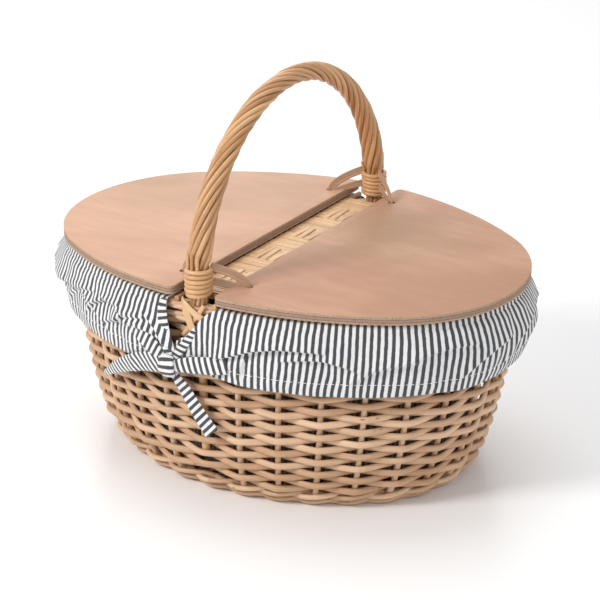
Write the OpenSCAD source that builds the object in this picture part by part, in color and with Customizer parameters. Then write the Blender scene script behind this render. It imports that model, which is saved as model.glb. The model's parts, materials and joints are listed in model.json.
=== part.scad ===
// Oval wicker picnic basket: woven wall, hoop handle, two hinged lids and a cloth liner.
// Millimetres. X runs along the basket, Y across it and Z up.
// The origin is on the floor, under the middle of the basket. The front is at -Y.

/* [Lids] */
// Length of the two closed lids together, tip to tip
lid_length = 480; // [400:1:580]
// Width of the lids
lid_width = 340; // [283:1:408]
// Thickness of a lid board
lid_t = 8; // [5:0.5:12]
// Gap between the straight edges of the lids
lid_gap = 44.4; // [37:0.1:54]
// Corner radius at the ends of a straight edge
lid_corner_r = 6; // [3:0.5:12]
// Diameter of a strap hole
strap_hole_d = 7; // [5:0.5:9]
// Distance from a straight edge to its strap holes
strap_hole_in = 14; // [11:0.5:20]
// Distance of the strap holes in from the sides of the lids
strap_hole_side = 40; // [33:1:60]

/* [Wall] */
// Height of the top of the woven border
rim_h = 198; // [160:1:240]
// How far a lid tip reaches past the middle of the wall
lid_reach_x = 15; // [12:0.5:20]
// How far a lid side reaches past the middle of the wall
lid_reach_y = 13; // [10.5:0.1:18]
// How much the wall leans in at each end, from the border to the floor
flare_x = 38; // [20:1:50]
// How much the wall leans in at each side, from the border to the floor
flare_y = 14; // [8:1:30]
// How far the wall swells at half height
wall_bulge = 7; // [0:0.2:10]
// Height of the rounded corner between wall and floor
corner_h = 40; // [24:1:50]
// How far that corner cuts in at the floor
corner_in = 18; // [12:0.1:30]
// Radius of an end of the oval as a share of its half width
end_share = 0.82; // [0.72:0.01:0.88]

/* [Weave] */
// Diameter of an upright stake
stake_d = 5.6; // [4:0.1:6.8]
// Diameter of a weaver
weaver_d = 6; // [4:0.2:7.2]
// Gap between one row of weaving and the next
row_gap = 0.8; // [0.6:0.1:3]
// Bays between stakes on the right half, one more than on the left
bays_right = 15; // [11:1:17]
// Height of the woven border
border_h = 10.7; // [8:0.1:14]
// Width of the woven border
border_w = 17.4; // [14:0.1:21]

/* [Base] */
// Height of the foot hoop
foot_h = 10; // [8:0.1:14]
// Width of the foot hoop
foot_w = 14; // [11:0.1:18]
// Diameter of a base stick
base_stick_d = 6; // [4:0.1:7.2]
// Spacing of the base sticks
base_stick_pitch = 32; // [24:1:40]
// Thickness of the woven floor
floor_t = 6; // [4:0.1:8]

/* [Handle] */
// Straight height of the handle's legs above the border, below the arch
handle_straight = 9.3; // [6:0.1:60]
// Diameter of the bow inside the handle
bow_d = 8; // [6:0.1:9.6]
// Diameter of the roped handle at its top
grip_d = 17.5; // [14.5:0.1:21]
// Diameter of the roped handle above a collar
root_d = 22.5; // [18.5:0.1:27]
// Diameter of the roped handle inside a collar
neck_d = 16; // [13:0.1:20]
// Diameter of the rod wound into a collar
collar_rod_d = 5.1; // [4:0.1:6.2]
// Turns of rod in a collar
collar_turns = 6; // [4:1:7]

/* [Bridge] */
// How far the bridge reaches under each lid's straight edge
bridge_lap = 1.85; // [1.5:0.05:5]
// Diameter of a bridge rod
bridge_rod_d = 4.6; // [3.8:0.1:6]
// Thickness of the cane wrapped round the bridge
cane_t = 1; // [0.6:0.1:1.6]

/* [Cloth] */
// Thickness allowed for the liner cloth
cloth_t = 1.6; // [1:0.1:2.5]
// Thickness allowed for the folded skirt outside the wall
skirt_t = 2.8; // [2:0.1:5]
// Depth of the skirt below the border's top
skirt_drop = 67; // [50:1:90]
// Width of a tie
tie_w = 18; // [12:1:24]
// Thickness of a tie
tie_t = 1.4; // [1:0.1:2]

/* [Hidden] */
$fn = 48;

// Clearance between pieces that are pressed together on the real basket
touch = 0.25;
// Clearance between soft pieces and their neighbours
soft_gap = 0.3;
// Clearance under a closed lid
lid_clear = 0.5;

// Half axes of the wall's middle line at the border and, without its corner, at the floor
rim_a = lid_length / 2 - lid_reach_x;
rim_b = lid_width / 2 - lid_reach_y;
foot_a = rim_a - flare_x;
foot_b = rim_b - flare_y;
bays_left = bays_right - 1;
uprights = bays_right + bays_left;
bow_r = bow_d / 2;
border_z = rim_h - border_h;
floor_z = foot_h - 2;
floor_top = floor_z + floor_t;
row_pitch = weaver_d + row_gap;
weave_gap = touch + 0.2;
weave_reach = max(stake_d, bow_d) / 2 + weaver_d + weave_gap;

// Swell and rounded corner of the wall at height z
function swell(z) = wall_bulge * 4 * z / rim_h * (1 - z / rim_h);
function corner(z) = z < corner_h ? corner_in * (1 - sqrt(1 - pow(1 - z / corner_h, 2))) : 0;
function mid_a(z) = foot_a + flare_x * z / rim_h + swell(z) - corner(z);
function mid_b(z) = foot_b + flare_y * z / rim_h + swell(z) - corner(z);

// A four-centred oval: round ends of radius end_r joined by flat arcs of radius side_r
function end_r(b) = end_share * b;
function side_r(a, b) = (pow(a - end_r(b), 2) + b * b - pow(end_r(b), 2)) / (2 * (b - end_r(b)));
function join_angle(a, b) = atan2(side_r(a, b) - b, a - end_r(b));

// Point and outward normal [x, y, nx, ny] on that oval, t in quarters counted from +X
function quarter_at(a, b, s) =
    let (e = end_r(b), r = side_r(a, b), j = join_angle(a, b))
    let (run = s * (e * j + r * (90 - j)), ang = run < e * j ? run / e : j + (run - e * j) / r)
    ang < j ? [a - e + e * cos(ang), e * sin(ang), cos(ang), sin(ang)]
            : [r * cos(ang), b - r + r * sin(ang), cos(ang), sin(ang)];
function oval_at(a, b, t) =
    let (u = t - 4 * floor(t / 4), q = floor(u), s = q % 2 == 0 ? u - q : 1 - u + q)
    let (p = quarter_at(a, b, s), sx = q == 1 || q == 2 ? -1 : 1, sy = q >= 2 ? -1 : 1)
    [sx * p[0], sy * p[1], sx * p[2], sy * p[3]];

// Point on the wall at quarter t and height z, off outwards from its middle
function wall_at(t, z, off) =
    let (p = oval_at(mid_a(z), mid_b(z), t))
    [p[0] + off * p[2], p[1] + off * p[3], z];

// Point on the front of the wall straight ahead of x
function front_at(x, z, off) =
    let (r = side_r(mid_a(z), mid_b(z)))
    [x, r - mid_b(z) - sqrt(pow(r + off, 2) - x * x), z];

// The handle's legs run down the middle of the wall as far as its corner, and its arch
// goes on from them without a bend
leg_z = corner_h + 3;
leg_lean = atan2(mid_b(rim_h) - mid_b(leg_z), rim_h - leg_z);
leg_top_z = rim_h + handle_straight;
bow_big_r = (rim_b * cos(leg_lean) + handle_straight * sin(leg_lean)) / pow(cos(leg_lean), 2);
bow_z = leg_top_z + bow_big_r * sin(leg_lean);
function leg_y(z) = rim_b + (z - rim_h) * tan(leg_lean);

// Uprights are numbered from the front leg, round the right end, the back leg and the left end
function is_leg(k) = k % uprights == 0 || k % uprights == bays_right;
function station(k) =
    let (i = k % uprights)
    i <= bays_right ? -1 + 2 * i / bays_right : 1 + 2 * (i - bays_right) / bays_left;

// Height of the bridge and of the lids that rest on it
rod_z = rim_h + soft_gap + bridge_rod_d / 2;
wrap_top = rod_z + bridge_rod_d / 2 + touch + cane_t;
wrap_w = lid_gap + 2 * bridge_lap;
bridge_w = wrap_w - 2 * (touch + cane_t);
strap_hole_y = lid_width / 2 - strap_hole_side;
lid_z = wrap_top + lid_clear;
hinge_x = lid_gap / 2;
cloth_top = rim_h + soft_gap + cloth_t;
lid_slope = atan2(lid_z - cloth_top - soft_gap, rim_a - hinge_x);

// Collar along a leg
collar_pitch = collar_rod_d - 0.15;
collar_h = collar_turns * collar_pitch;
collar_start = 6;
neck_top = collar_start + collar_h;

// Outward reach of the wale at height z and of the border from the middle of the wall
function wale_start(z) = stake_d / 2 + 2 * touch + max(0, mid_a(z + weaver_d) - mid_a(z));
wale_z = border_z - touch - weaver_d;
wale_reach = wale_start(wale_z) + weaver_d;
border_reach = border_w / 2 + max(0, rim_a - mid_a(border_z), rim_b - mid_b(border_z));

// Outward places of the cloth pieces from the middle of the wall
leg_mid = (leg_z + rim_h) / 2;
leg_stray = mid_b(leg_mid) - leg_y(leg_mid);
bag_off = -max(weave_reach + leg_stray, border_w / 2) - soft_gap;
skirt_steps = 36;
skirt_sag = pow(2 * (rim_a + rim_b) / skirt_steps, 2) / (8 * end_r(rim_b));
skirt_in = max(weave_reach, wale_reach, border_reach) + skirt_sag + soft_gap;
skirt_out = skirt_in + skirt_t;
skirt_hem = rim_h - skirt_drop;
bag_top = border_z - 2;
// The bag keeps further off the wall where that turns under
function bag_out(z) = bag_off - 6 * max(0, 1 - z / corner_h);

// A solid tube through rings of points, closed at both ends
module tube(rings) {
    n = len(rings[0]);
    last = len(rings) - 1;
    polyhedron(
        points = [for (ring = rings) for (p = ring) p],
        faces = concat(
            [[for (i = [0:n - 1]) i]],
            [for (j = [0:last - 1]) for (i = [0:n - 1])
                [j * n + (i + 1) % n, j * n + i, (j + 1) * n + i]],
            [for (j = [0:last - 1]) for (i = [0:n - 1])
                [j * n + (i + 1) % n, (j + 1) * n + i, (j + 1) * n + (i + 1) % n]],
            [[for (i = [n - 1:-1:0]) last * n + i]]
        )
    );
}

// A solid sheet between an outer and an inner grid of points, rows of equal length
module sheet(outer, inner) {
    n = len(outer[0]);
    m = len(outer);
    other = n * m;
    rim = concat(
        [for (i = [0:n - 2]) [i, i + 1]],
        [for (j = [0:m - 2]) [j * n + n - 1, (j + 1) * n + n - 1]],
        [for (i = [n - 1:-1:1]) [(m - 1) * n + i, (m - 1) * n + i - 1]],
        [for (j = [m - 1:-1:1]) [j * n, (j - 1) * n]]
    );
    quads = [for (j = [0:m - 2]) for (i = [0:n - 2])
        [j * n + i, j * n + i + 1, (j + 1) * n + i + 1, (j + 1) * n + i]];
    polyhedron(
        points = concat([for (row = outer) for (p = row) p], [for (row = inner) for (p = row) p]),
        faces = concat(
            [for (q = quads) [q[0], q[1], q[2]]],
            [for (q = quads) [q[0], q[2], q[3]]],
            [for (q = quads) [q[2] + other, q[1] + other, q[0] + other]],
            [for (q = quads) [q[3] + other, q[2] + other, q[0] + other]],
            [for (e = rim) [e[1], e[0], e[0] + other]],
            [for (e = rim) [e[1], e[0] + other, e[1] + other]]
        )
    );
}

// The flat shape of the oval of half axes a, b, grown outwards by off
module oval(a, b, off = 0) {
    e = end_r(b);
    r = side_r(a, b);
    for (side = [-1, 1]) translate([side * (a - e), 0]) circle(e + off, $fn = 180);
    intersection() {
        translate([0, b - r]) circle(r + off, $fn = 360);
        translate([0, r - b]) circle(r + off, $fn = 360);
        square([2 * (r + off) * cos(join_angle(a, b)), 2 * (b + off) + 2], center = true);
    }
}

// A flat band that follows that oval, from its inner to its outer edge
module band(a, b, inner, outer, h) {
    linear_extrude(h) difference() {
        oval(a, b, outer);
        oval(a, b, inner);
    }
}

// Two bands round the stakes from height z up, one outside them and one inside
module wale_pair(z) {
    near = stake_d / 2 + 2 * touch;
    far = wale_start(z);
    translate([0, 0, z]) {
        band(mid_a(z), mid_b(z), far, far + weaver_d, weaver_d);
        band(mid_a(z), mid_b(z), -near - weaver_d, -near, weaver_d);
    }
}

// The hoop is stepped in at the floor, where the wall turns under
foot_out = 3;
foot_in = foot_w - foot_out;
foot_step = 3;
module foot_hoop() {
    color("peru") {
        band(mid_a(foot_h), mid_b(foot_h), -foot_in, foot_out - foot_step, foot_h / 2);
        translate([0, 0, foot_h / 2]) band(mid_a(foot_h), mid_b(foot_h), -foot_in, foot_out, foot_h / 2);
    }
}

// Half length of a straight stick across the inside of the foot hoop, at distance y
function base_reach(y) =
    let (a = mid_a(foot_h), b = mid_b(foot_h), e = end_r(b) - foot_in - touch)
    a - end_r(b) + sqrt(e * e - y * y);

module base_sticks() {
    rows = floor((end_r(mid_b(foot_h)) - foot_in - base_stick_d) / base_stick_pitch);
    color("tan") for (i = [-rows:rows]) {
        half = base_reach(abs(i) * base_stick_pitch + base_stick_d / 2);
        translate([-half, i * base_stick_pitch, floor_z - touch - base_stick_d / 2])
            rotate([0, 90, 0]) cylinder(d = base_stick_d, h = 2 * half, $fn = 24);
    }
}

module floor_weave() {
    inset = max(foot_in, stake_d / 2 + 2 * touch + weaver_d) + touch;
    color("burlywood") translate([0, 0, floor_z])
        linear_extrude(floor_t) oval(mid_a(foot_h), mid_b(foot_h), -inset);
}

// One stake, from the foot hoop to the underside of the border
module stake(t) {
    low = foot_h + touch;
    high = border_z - touch;
    levels = concat([low, low + 6, low + 13, low + 24], [for (i = [1:4]) low + 24 + i * (high - low - 24) / 4]);
    tube([for (z = levels) [for (i = [0:5])
        wall_at(t, z, 0) + stake_d / 2 * [cos(60 * i), sin(60 * i), 0]]]);
}

module stakes() {
    color("goldenrod") for (k = [0:uprights - 1]) if (!is_leg(k)) stake(station(k));
}

module upsett_wale() {
    color("sandybrown") wale_pair(foot_h + touch);
}

// Middle of the weaver as it passes upright i: outside one upright, inside the next
weave_low = foot_h + weaver_d * 1.5 + 0.8;
weave_high = border_z - weaver_d * 1.5 - 0.8;
weave_passes = uprights * floor((weave_high - weave_low) / row_pitch) + 4;
function weaver_at(i) =
    let (z = weave_low + row_pitch * i / uprights, side = i % 2 == 0 ? 1 : -1)
    let (leg = is_leg(i) && z > leg_z - weaver_d, lean = leg ? leg_y(z) - mid_b(z) : 0)
    let (slope = mid_a(z + 0.5) - mid_a(z - 0.5), steep = sqrt(1 + slope * slope))
    wall_at(station(i), z, side * ((leg ? bow_r : stake_d / 2) + (weaver_d / 2 + weave_gap) * steep) + lean);

module side_weave() {
    color("burlywood") tube([for (i = [1:weave_passes])
        let (p = weaver_at(i), along = weaver_at(i + 1) - weaver_at(i - 1))
        let (out = cross(along, [0, 0, 1]) / norm(cross(along, [0, 0, 1])))
        let (up = cross(out, along) / norm(along))
        [for (j = [5:-1:0]) p + weaver_d / 2 * (cos(60 * j) * out + sin(60 * j) * up)]]);
}

// Stands its children at the top of a leg hole: local Z runs up the leg, front or back
module at_leg(front) {
    rotate([0, 0, front ? 0 : 180]) translate([0, -leg_y(rim_h), rim_h]) rotate([leg_lean, 0, 0]) children();
}

// Room for the two legs through the top of the wall
module leg_holes() {
    for (front = [true, false])
        at_leg(front) translate([0, 0, -2 * border_h]) cylinder(r = bow_r + touch, h = 3 * border_h);
}

module top_wale() {
    color("sandybrown") difference() {
        wale_pair(wale_z);
        leg_holes();
    }
}

module border() {
    half = border_w / 2;
    step = 2;
    color("sandybrown") difference() {
        translate([0, 0, border_z]) {
            band(rim_a, rim_b, step - half, half - step, border_h);
            translate([0, 0, step]) band(rim_a, rim_b, -half, half, border_h - 2 * step);
        }
        leg_holes();
    }
}

// The legs are a little thinner than the bow, and run a little way up inside it
module handle_bow() {
    shave = 0.2;
    overlap = 3;
    leg_len = (leg_top_z - leg_z) / cos(leg_lean);
    color("tan") {
        translate([0, 0, bow_z]) rotate([90, 0, 90]) rotate([0, 0, -leg_lean])
            rotate_extrude(angle = 180 + 2 * leg_lean, $fn = 96)
                translate([bow_big_r, 0]) circle(bow_r, $fn = 32);
        for (front = [true, false])
            at_leg(front) translate([0, 0, (leg_top_z - rim_h) / cos(leg_lean) - leg_len])
                cylinder(r = bow_r - shave, h = leg_len + overlap, $fn = 32);
    }
}

// Middle of the roping at share s of its length, front to back, with its tangent
rope_low = rim_h + soft_gap + neck_d / 2 * sin(leg_lean);
rope_rise = (leg_top_z - rope_low) / cos(leg_lean);
rope_arc = bow_big_r * (180 + 2 * leg_lean) * PI / 180;
rope_len = rope_arc + 2 * rope_rise;
function rope_at(s) =
    let (run = s * rope_len, back = run > rope_len / 2, near = back ? rope_len - run : run)
    let (ang = (near - rope_rise) / bow_big_r * 180 / PI - leg_lean)
    let (y = near < rope_rise ? -bow_big_r * cos(leg_lean) + (rope_rise - near) * sin(leg_lean)
                              : -bow_big_r * cos(ang))
    let (z = near < rope_rise ? leg_top_z - (rope_rise - near) * cos(leg_lean)
                              : bow_z + bow_big_r * sin(ang))
    let (lean = near < rope_rise ? -leg_lean : ang)
    [[0, back ? -y : y, z], [0, sin(lean), back ? -cos(lean) : cos(lean)]];

// Radius of the roping at distance run from its nearer end: a neck, a swelling and the grip
function rope_r(run) =
    run < neck_top ? neck_d / 2
    : run < neck_top + 12 ? neck_d / 2 + (root_d - neck_d) / 2 * sin((run - neck_top) * 90 / 12)
    : root_d / 2 - (root_d - grip_d) / 2 * min(1, (run - neck_top - 12) / (rope_len / 2 - neck_top - 12));

// The strands show as ridges that turn round the bow
module handle_roping() {
    strands = 10;
    sides = 2 * strands;
    turn = 3 * 360;
    steps = 30;
    ridge = 0.5;
    bend = (rope_rise + neck_top) / 2;
    near = [0, collar_start, rope_rise, bend, neck_top, neck_top + 6, neck_top + 12];
    ends = [for (run = near) run / rope_len];
    last = len(ends) - 1;
    inner_steps = [for (i = [1:steps - 1]) ends[last] + (1 - 2 * ends[last]) * i / steps];
    places = concat(ends, inner_steps, [for (i = [last:-1:0]) 1 - ends[i]]);
    ring = [for (s = places)
        let (c = rope_at(s), side = [1, 0, 0], up = cross(c[1], side))
        let (r = rope_r(min(s, 1 - s) * rope_len))
        [for (i = [0:sides - 1]) let (ang = 360 * i / sides)
            c[0] + (r - (i % 2) * ridge * 2) * (cos(ang + turn * s) * side + sin(ang + turn * s) * up)]];
    bore = [for (s = places)
        let (c = rope_at(s), side = [1, 0, 0], up = cross(c[1], side))
        [for (i = [0:sides - 1]) let (ang = 360 * i / sides)
            c[0] + (bow_r + 2 * touch) * (cos(ang) * side + sin(ang) * up)]];
    color("goldenrod") sleeve(ring, bore);
}

// A tube with a hole along it, between outer and inner rings of equal length
module sleeve(outer, inner) {
    n = len(outer[0]);
    last = len(outer) - 1;
    far = n * len(outer);
    walls = [for (j = [0:last - 1]) for (i = [0:n - 1])
        [j * n + i, j * n + (i + 1) % n, (j + 1) * n + (i + 1) % n, (j + 1) * n + i]];
    polyhedron(
        points = concat([for (ring = outer) for (p = ring) p], [for (ring = inner) for (p = ring) p]),
        faces = concat(
            [for (q = walls) [q[2], q[1], q[0]]],
            [for (q = walls) [q[3], q[2], q[0]]],
            [for (q = walls) [q[0] + far, q[1] + far, q[2] + far]],
            [for (q = walls) [q[0] + far, q[2] + far, q[3] + far]],
            [for (i = [0:n - 1]) [i, (i + 1) % n, (i + 1) % n + far, i + far]],
            [for (i = [0:n - 1]) let (a = last * n + i, b = last * n + (i + 1) % n) [b, a, a + far, b + far]]
        )
    );
}

// Turns of rod wound round the neck of the handle
module handle_collar_front() {
    color("burlywood") for (i = [0:collar_turns - 1]) {
        c = rope_at((collar_start + (i + 0.5) * collar_pitch) / rope_len);
        translate(c[0]) rotate([-atan2(c[1][1], c[1][2]), 0, 0])
            rotate_extrude() translate([neck_d / 2 + touch + collar_rod_d / 2, 0])
                circle(d = collar_rod_d, $fn = 24);
    }
}

module handle_collar_back() rotate([0, 0, 180]) handle_collar_front();

// Two crossed strips over the border, outside a leg
module foot_binding() {
    strip_w = 4;
    strip_h = 20;
    strip_t = 1.4;
    aside = 4;
    tilt = 18;
    // The wall may swell beyond its rim behind the strips
    wall_b = max([for (z = [rim_h - strip_h:rim_h]) mid_b(z)]);
    color("wheat") translate([-aside, -wall_b - skirt_in - strip_t, rim_h - strip_h / 2])
        for (way = [-tilt, tilt]) rotate([0, way, 0])
            translate([-strip_w / 2, 0, -strip_h / 2]) cube([strip_w, strip_t, strip_h]);
}

module foot_binding_front() foot_binding();
module foot_binding_back() rotate([0, 0, 180]) foot_binding();

// Two rods over the border beside the handle, and two short ones between its feet
module bridge_rods() {
    outer_x = (bridge_w - bridge_rod_d) / 2;
    color("tan") for (x = [-outer_x, -outer_x / 3, outer_x / 3, outer_x]) {
        half = abs(x) == outer_x ? rim_b + border_w / 2 - 2 : wrap_half + 1;
        translate([x, half, rod_z]) rotate([90, 0, 0]) cylinder(d = bridge_rod_d, h = 2 * half, $fn = 24);
    }
}

// The wrap stops short of the border and of the collars
wrap_half = min(rim_b - border_w / 2 - 4, rim_b - neck_d / 2 - collar_rod_d - 2);
module bridge_wrap() {
    h = bridge_rod_d + 2 * (touch + cane_t);
    color("wheat") translate([0, 0, rod_z]) difference() {
        cube([wrap_w, 2 * wrap_half, h], center = true);
        cube([wrap_w - 2 * cane_t, 2 * wrap_half + 2, h - 2 * cane_t], center = true);
    }
}

// Half of the lid oval, with its two corners rounded and its two strap holes
module lid_shape() {
    a = lid_length / 2;
    b = lid_width / 2;
    r = side_r(a, b);
    f = lid_corner_r;
    fx = hinge_x + f;
    fy = b - r + sqrt(pow(r - f, 2) - fx * fx);
    tip = [fx * r / (r - f), b - r + (fy - b + r) * r / (r - f)];
    difference() {
        oval(a, b);
        translate([hinge_x - lid_length, -lid_width]) square([lid_length, 2 * lid_width]);
        for (side = [-1, 1]) {
            mirror([0, side > 0 ? 0 : 1]) difference() {
                polygon([[hinge_x - 1, fy], [fx, fy], tip, [tip[0], b + 1], [hinge_x - 1, b + 1]]);
                translate([fx, fy]) circle(f, $fn = 48);
            }
            translate([hinge_x + strap_hole_in, side * strap_hole_y]) circle(d = strap_hole_d, $fn = 32);
        }
    }
}

module lid() {
    color("rosybrown") translate([hinge_x, 0, lid_z]) rotate([0, lid_slope, 0]) translate([-hinge_x, 0, 0])
        linear_extrude(lid_t) lid_shape();
}

module lid_right() lid();
module lid_left() mirror([1, 0, 0]) lid();

// Cane strap: up through a lid hole and over to the handle, just above the collar
module strap() {
    w = strap_hole_d - 2.6;
    t = 1.8;
    hole = [hinge_x + strap_hole_in, -strap_hole_y];
    foot = [0, -leg_y(rim_h)];
    toward = (foot - hole) / norm(foot - hole);
    across = [-toward[1], toward[0], 0];
    reach = norm(foot - hole) - root_d / 2 - 2.5;
    low = lid_z - (strap_hole_in + 4) * tan(lid_slope);
    high = rim_h + neck_top + 7;
    start = low + lid_t + 2;
    bend = [for (i = [0:4:20]) let (s = i / 20)
        [reach * s, start + (high - start) * sin(90 * s) + 5 * sin(180 * s)]];
    path = concat([[0, low + 1]], bend);
    grid = [for (side = [t / 2, -t / 2]) [for (i = [0:len(path) - 1])
        let (d = i == 0 ? [0, 1] : i == len(path) - 1 ? path[i] - path[i - 1] : path[i + 1] - path[i - 1])
        let (c = path[i] + side * [-d[1], d[0]] / norm(d))
        [for (v = [-w / 2, w / 2]) [each (hole + c[0] * toward), c[1]] + v * across]]];
    color("rosybrown") sheet(grid[0], grid[1]);
}

module strap_front_right() strap();
module strap_front_left() mirror([1, 0, 0]) strap();
module strap_back_right() mirror([0, 1, 0]) strap();
module strap_back_left() rotate([0, 0, 180]) strap();

// Cloth bag inside the wall
module liner_bag() {
    n = 48;
    low = floor_top + soft_gap;
    levels = concat([low, low + 9, low + 24], [for (i = [1:4]) low + 24 + i * (bag_top - low - 24) / 4]);
    outer = [for (z = levels) [for (i = [0:n - 1]) wall_at(4 * i / n, z, bag_out(z))]];
    inner = [for (z = levels) [for (i = [0:n - 1])
        wall_at(4 * i / n, max(z, low + cloth_t), bag_out(z) - cloth_t)]];
    color("slategray") tube([each outer, each [for (j = [len(levels) - 1:-1:0]) inner[j]]]);
}

// Skirt profile, from inside the border, over it and down to the hem: [inner, outer] at each step
skirt_line = [
    [[bag_off, bag_top + soft_gap], [bag_off - cloth_t, bag_top + soft_gap]],
    [[bag_off, rim_h - 1], [bag_off - cloth_t, rim_h]],
    [[bag_off + 1.2, rim_h + soft_gap], [bag_off, cloth_top]],
    [[skirt_in - 1.2, rim_h + soft_gap], [skirt_in, cloth_top]],
    [[skirt_in, rim_h - 2], [skirt_out - 0.6, rim_h - 2]],
    [[skirt_in, rim_h - 8], [skirt_out, rim_h - 8]],
    [[skirt_in, (rim_h + skirt_hem) / 2], [skirt_out, (rim_h + skirt_hem) / 2]],
    [[skirt_in, skirt_hem], [skirt_out, skirt_hem]]
];

// Where the right skirt stops, as an x on the wall, at each step of the profile. It is wide open
// over the border, and below that its front end crosses under the handle's foot
slit_open = bridge_w / 2 + 4;
slit_front = [each [for (i = [0:4]) slit_open], 12, -9, -11];
slit_back = [each [for (i = [0:3]) slit_open + 2], slit_open + 2, slit_open, 16, 19];

// Share of a quarter from the front or back leg to the place straight ahead of x
function quarter_to(x, z) =
    let (a = mid_a(z), b = mid_b(z), e = end_r(b), r = side_r(a, b), j = join_angle(a, b))
    asin(x / r) * r / (e * j + r * (90 - j));

module skirt() {
    n = skirt_steps;
    grid = [for (face = [1, 0]) [for (i = [0:len(skirt_line) - 1])
        let (p = skirt_line[i][face], t0 = -1 + quarter_to(slit_front[i], min(p[1], rim_h)))
        let (t1 = 1 - quarter_to(slit_back[i], min(p[1], rim_h)))
        [for (k = [0:n]) let (q = wall_at(t0 + (t1 - t0) * k / n, min(p[1], rim_h), p[0]))
            [q[0], q[1], p[1]]]]];
    color("lightslategray") sheet(grid[0], grid[1]);
}

module skirt_right() skirt();
module skirt_left() rotate([0, 0, 180]) skirt();

// A tie lies on the skirt and the wall along points [x, drop below the border's top],
// half as wide at the knot
knot_x = -22;
knot_drop = 60;
knot = [knot_x, knot_drop];
tie_gap = 0.9;
left_path = [[-68, 33], [-52, 42], [-37, 51], knot, [-10, 80], [4, 102], [17, 123]];
right_path = [[38, 47], [18, 51], [-2, 55], knot, [-52, 70], [-86, 85], [-117, 102]];
module tie(path, layer) {
    low = skirt_out + tie_gap + layer * (tie_t + tie_gap);
    grid = [for (off = [low + tie_t, low]) [for (i = [0:len(path) - 1])
        let (d = path[min(i + 1, len(path) - 1)] - path[max(i - 1, 0)])
        let (side = [d[1], d[0]] / norm(d), half = norm(path[i] - knot) < 1 ? tie_w / 4 : tie_w / 2)
        [for (v = [half, -half])
            front_at(path[i][0] + v * side[0], rim_h - path[i][1] + v * side[1], off)]]];
    color("gray") sheet(grid[1], grid[0]);
}

module tie_left() tie(left_path, 0);
module tie_right() tie(right_path, 1);

module tie_knot() {
    low = skirt_out + 3 * tie_gap + 2 * tie_t;
    place = front_at(knot_x, rim_h - knot_drop, low + 4);
    color("gray") translate(place) rotate([90, 0, 0]) intersection() {
        translate([0, 0, -13]) sphere(17, $fn = 48);
        translate([0, 0, -3.5]) linear_extrude(8) square([22, 20], center = true);
    }
}

module tie_front_left() tie_left();
module tie_front_right() tie_right();
module tie_front_knot() tie_knot();
module tie_back_left() rotate([0, 0, 180]) tie_right();
module tie_back_right() rotate([0, 0, 180]) tie_left();
module tie_back_knot() rotate([0, 0, 180]) tie_knot();

foot_hoop();
base_sticks();
floor_weave();
stakes();
upsett_wale();
side_weave();
top_wale();
border();
handle_bow();
handle_roping();
handle_collar_front();
handle_collar_back();
foot_binding_front();
foot_binding_back();
bridge_rods();
bridge_wrap();
lid_left();
lid_right();
strap_front_left();
strap_front_right();
strap_back_left();
strap_back_right();
liner_bag();
skirt_left();
skirt_right();
tie_front_left();
tie_front_right();
tie_front_knot();
tie_back_left();
tie_back_right();
tie_back_knot();
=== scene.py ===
"""Looks of the oval wicker picnic basket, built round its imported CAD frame. Metres, X along, Y across, Z up."""
import json
import math
import bpy
import numpy as np
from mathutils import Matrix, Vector


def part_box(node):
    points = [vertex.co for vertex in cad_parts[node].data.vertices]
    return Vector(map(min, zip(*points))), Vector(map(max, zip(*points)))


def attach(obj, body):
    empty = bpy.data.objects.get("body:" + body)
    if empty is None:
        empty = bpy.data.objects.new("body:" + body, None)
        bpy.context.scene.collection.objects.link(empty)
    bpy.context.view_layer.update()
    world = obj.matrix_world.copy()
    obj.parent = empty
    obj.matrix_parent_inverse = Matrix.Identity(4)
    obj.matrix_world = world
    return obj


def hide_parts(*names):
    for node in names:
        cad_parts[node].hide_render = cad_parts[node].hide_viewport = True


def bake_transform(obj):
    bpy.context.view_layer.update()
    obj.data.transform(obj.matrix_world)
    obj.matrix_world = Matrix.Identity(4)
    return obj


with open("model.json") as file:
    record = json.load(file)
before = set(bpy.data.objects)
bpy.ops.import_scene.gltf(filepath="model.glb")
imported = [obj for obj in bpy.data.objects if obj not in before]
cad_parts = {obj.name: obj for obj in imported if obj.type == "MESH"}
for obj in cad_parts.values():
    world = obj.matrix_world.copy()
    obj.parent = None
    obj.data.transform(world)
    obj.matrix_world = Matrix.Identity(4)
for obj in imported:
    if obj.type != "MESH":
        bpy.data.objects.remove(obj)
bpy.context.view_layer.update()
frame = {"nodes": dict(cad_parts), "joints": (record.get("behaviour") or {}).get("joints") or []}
TAU = 2 * math.pi
MM = 0.001

# ---------------------------------------------------------------- camera, floor and studio lights


def aim(thing, place, target):
    thing.location = place
    thing.rotation_mode = "QUATERNION"
    thing.rotation_quaternion = (Vector(target) - Vector(place)).to_track_quat("-Z", "Y")


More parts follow.
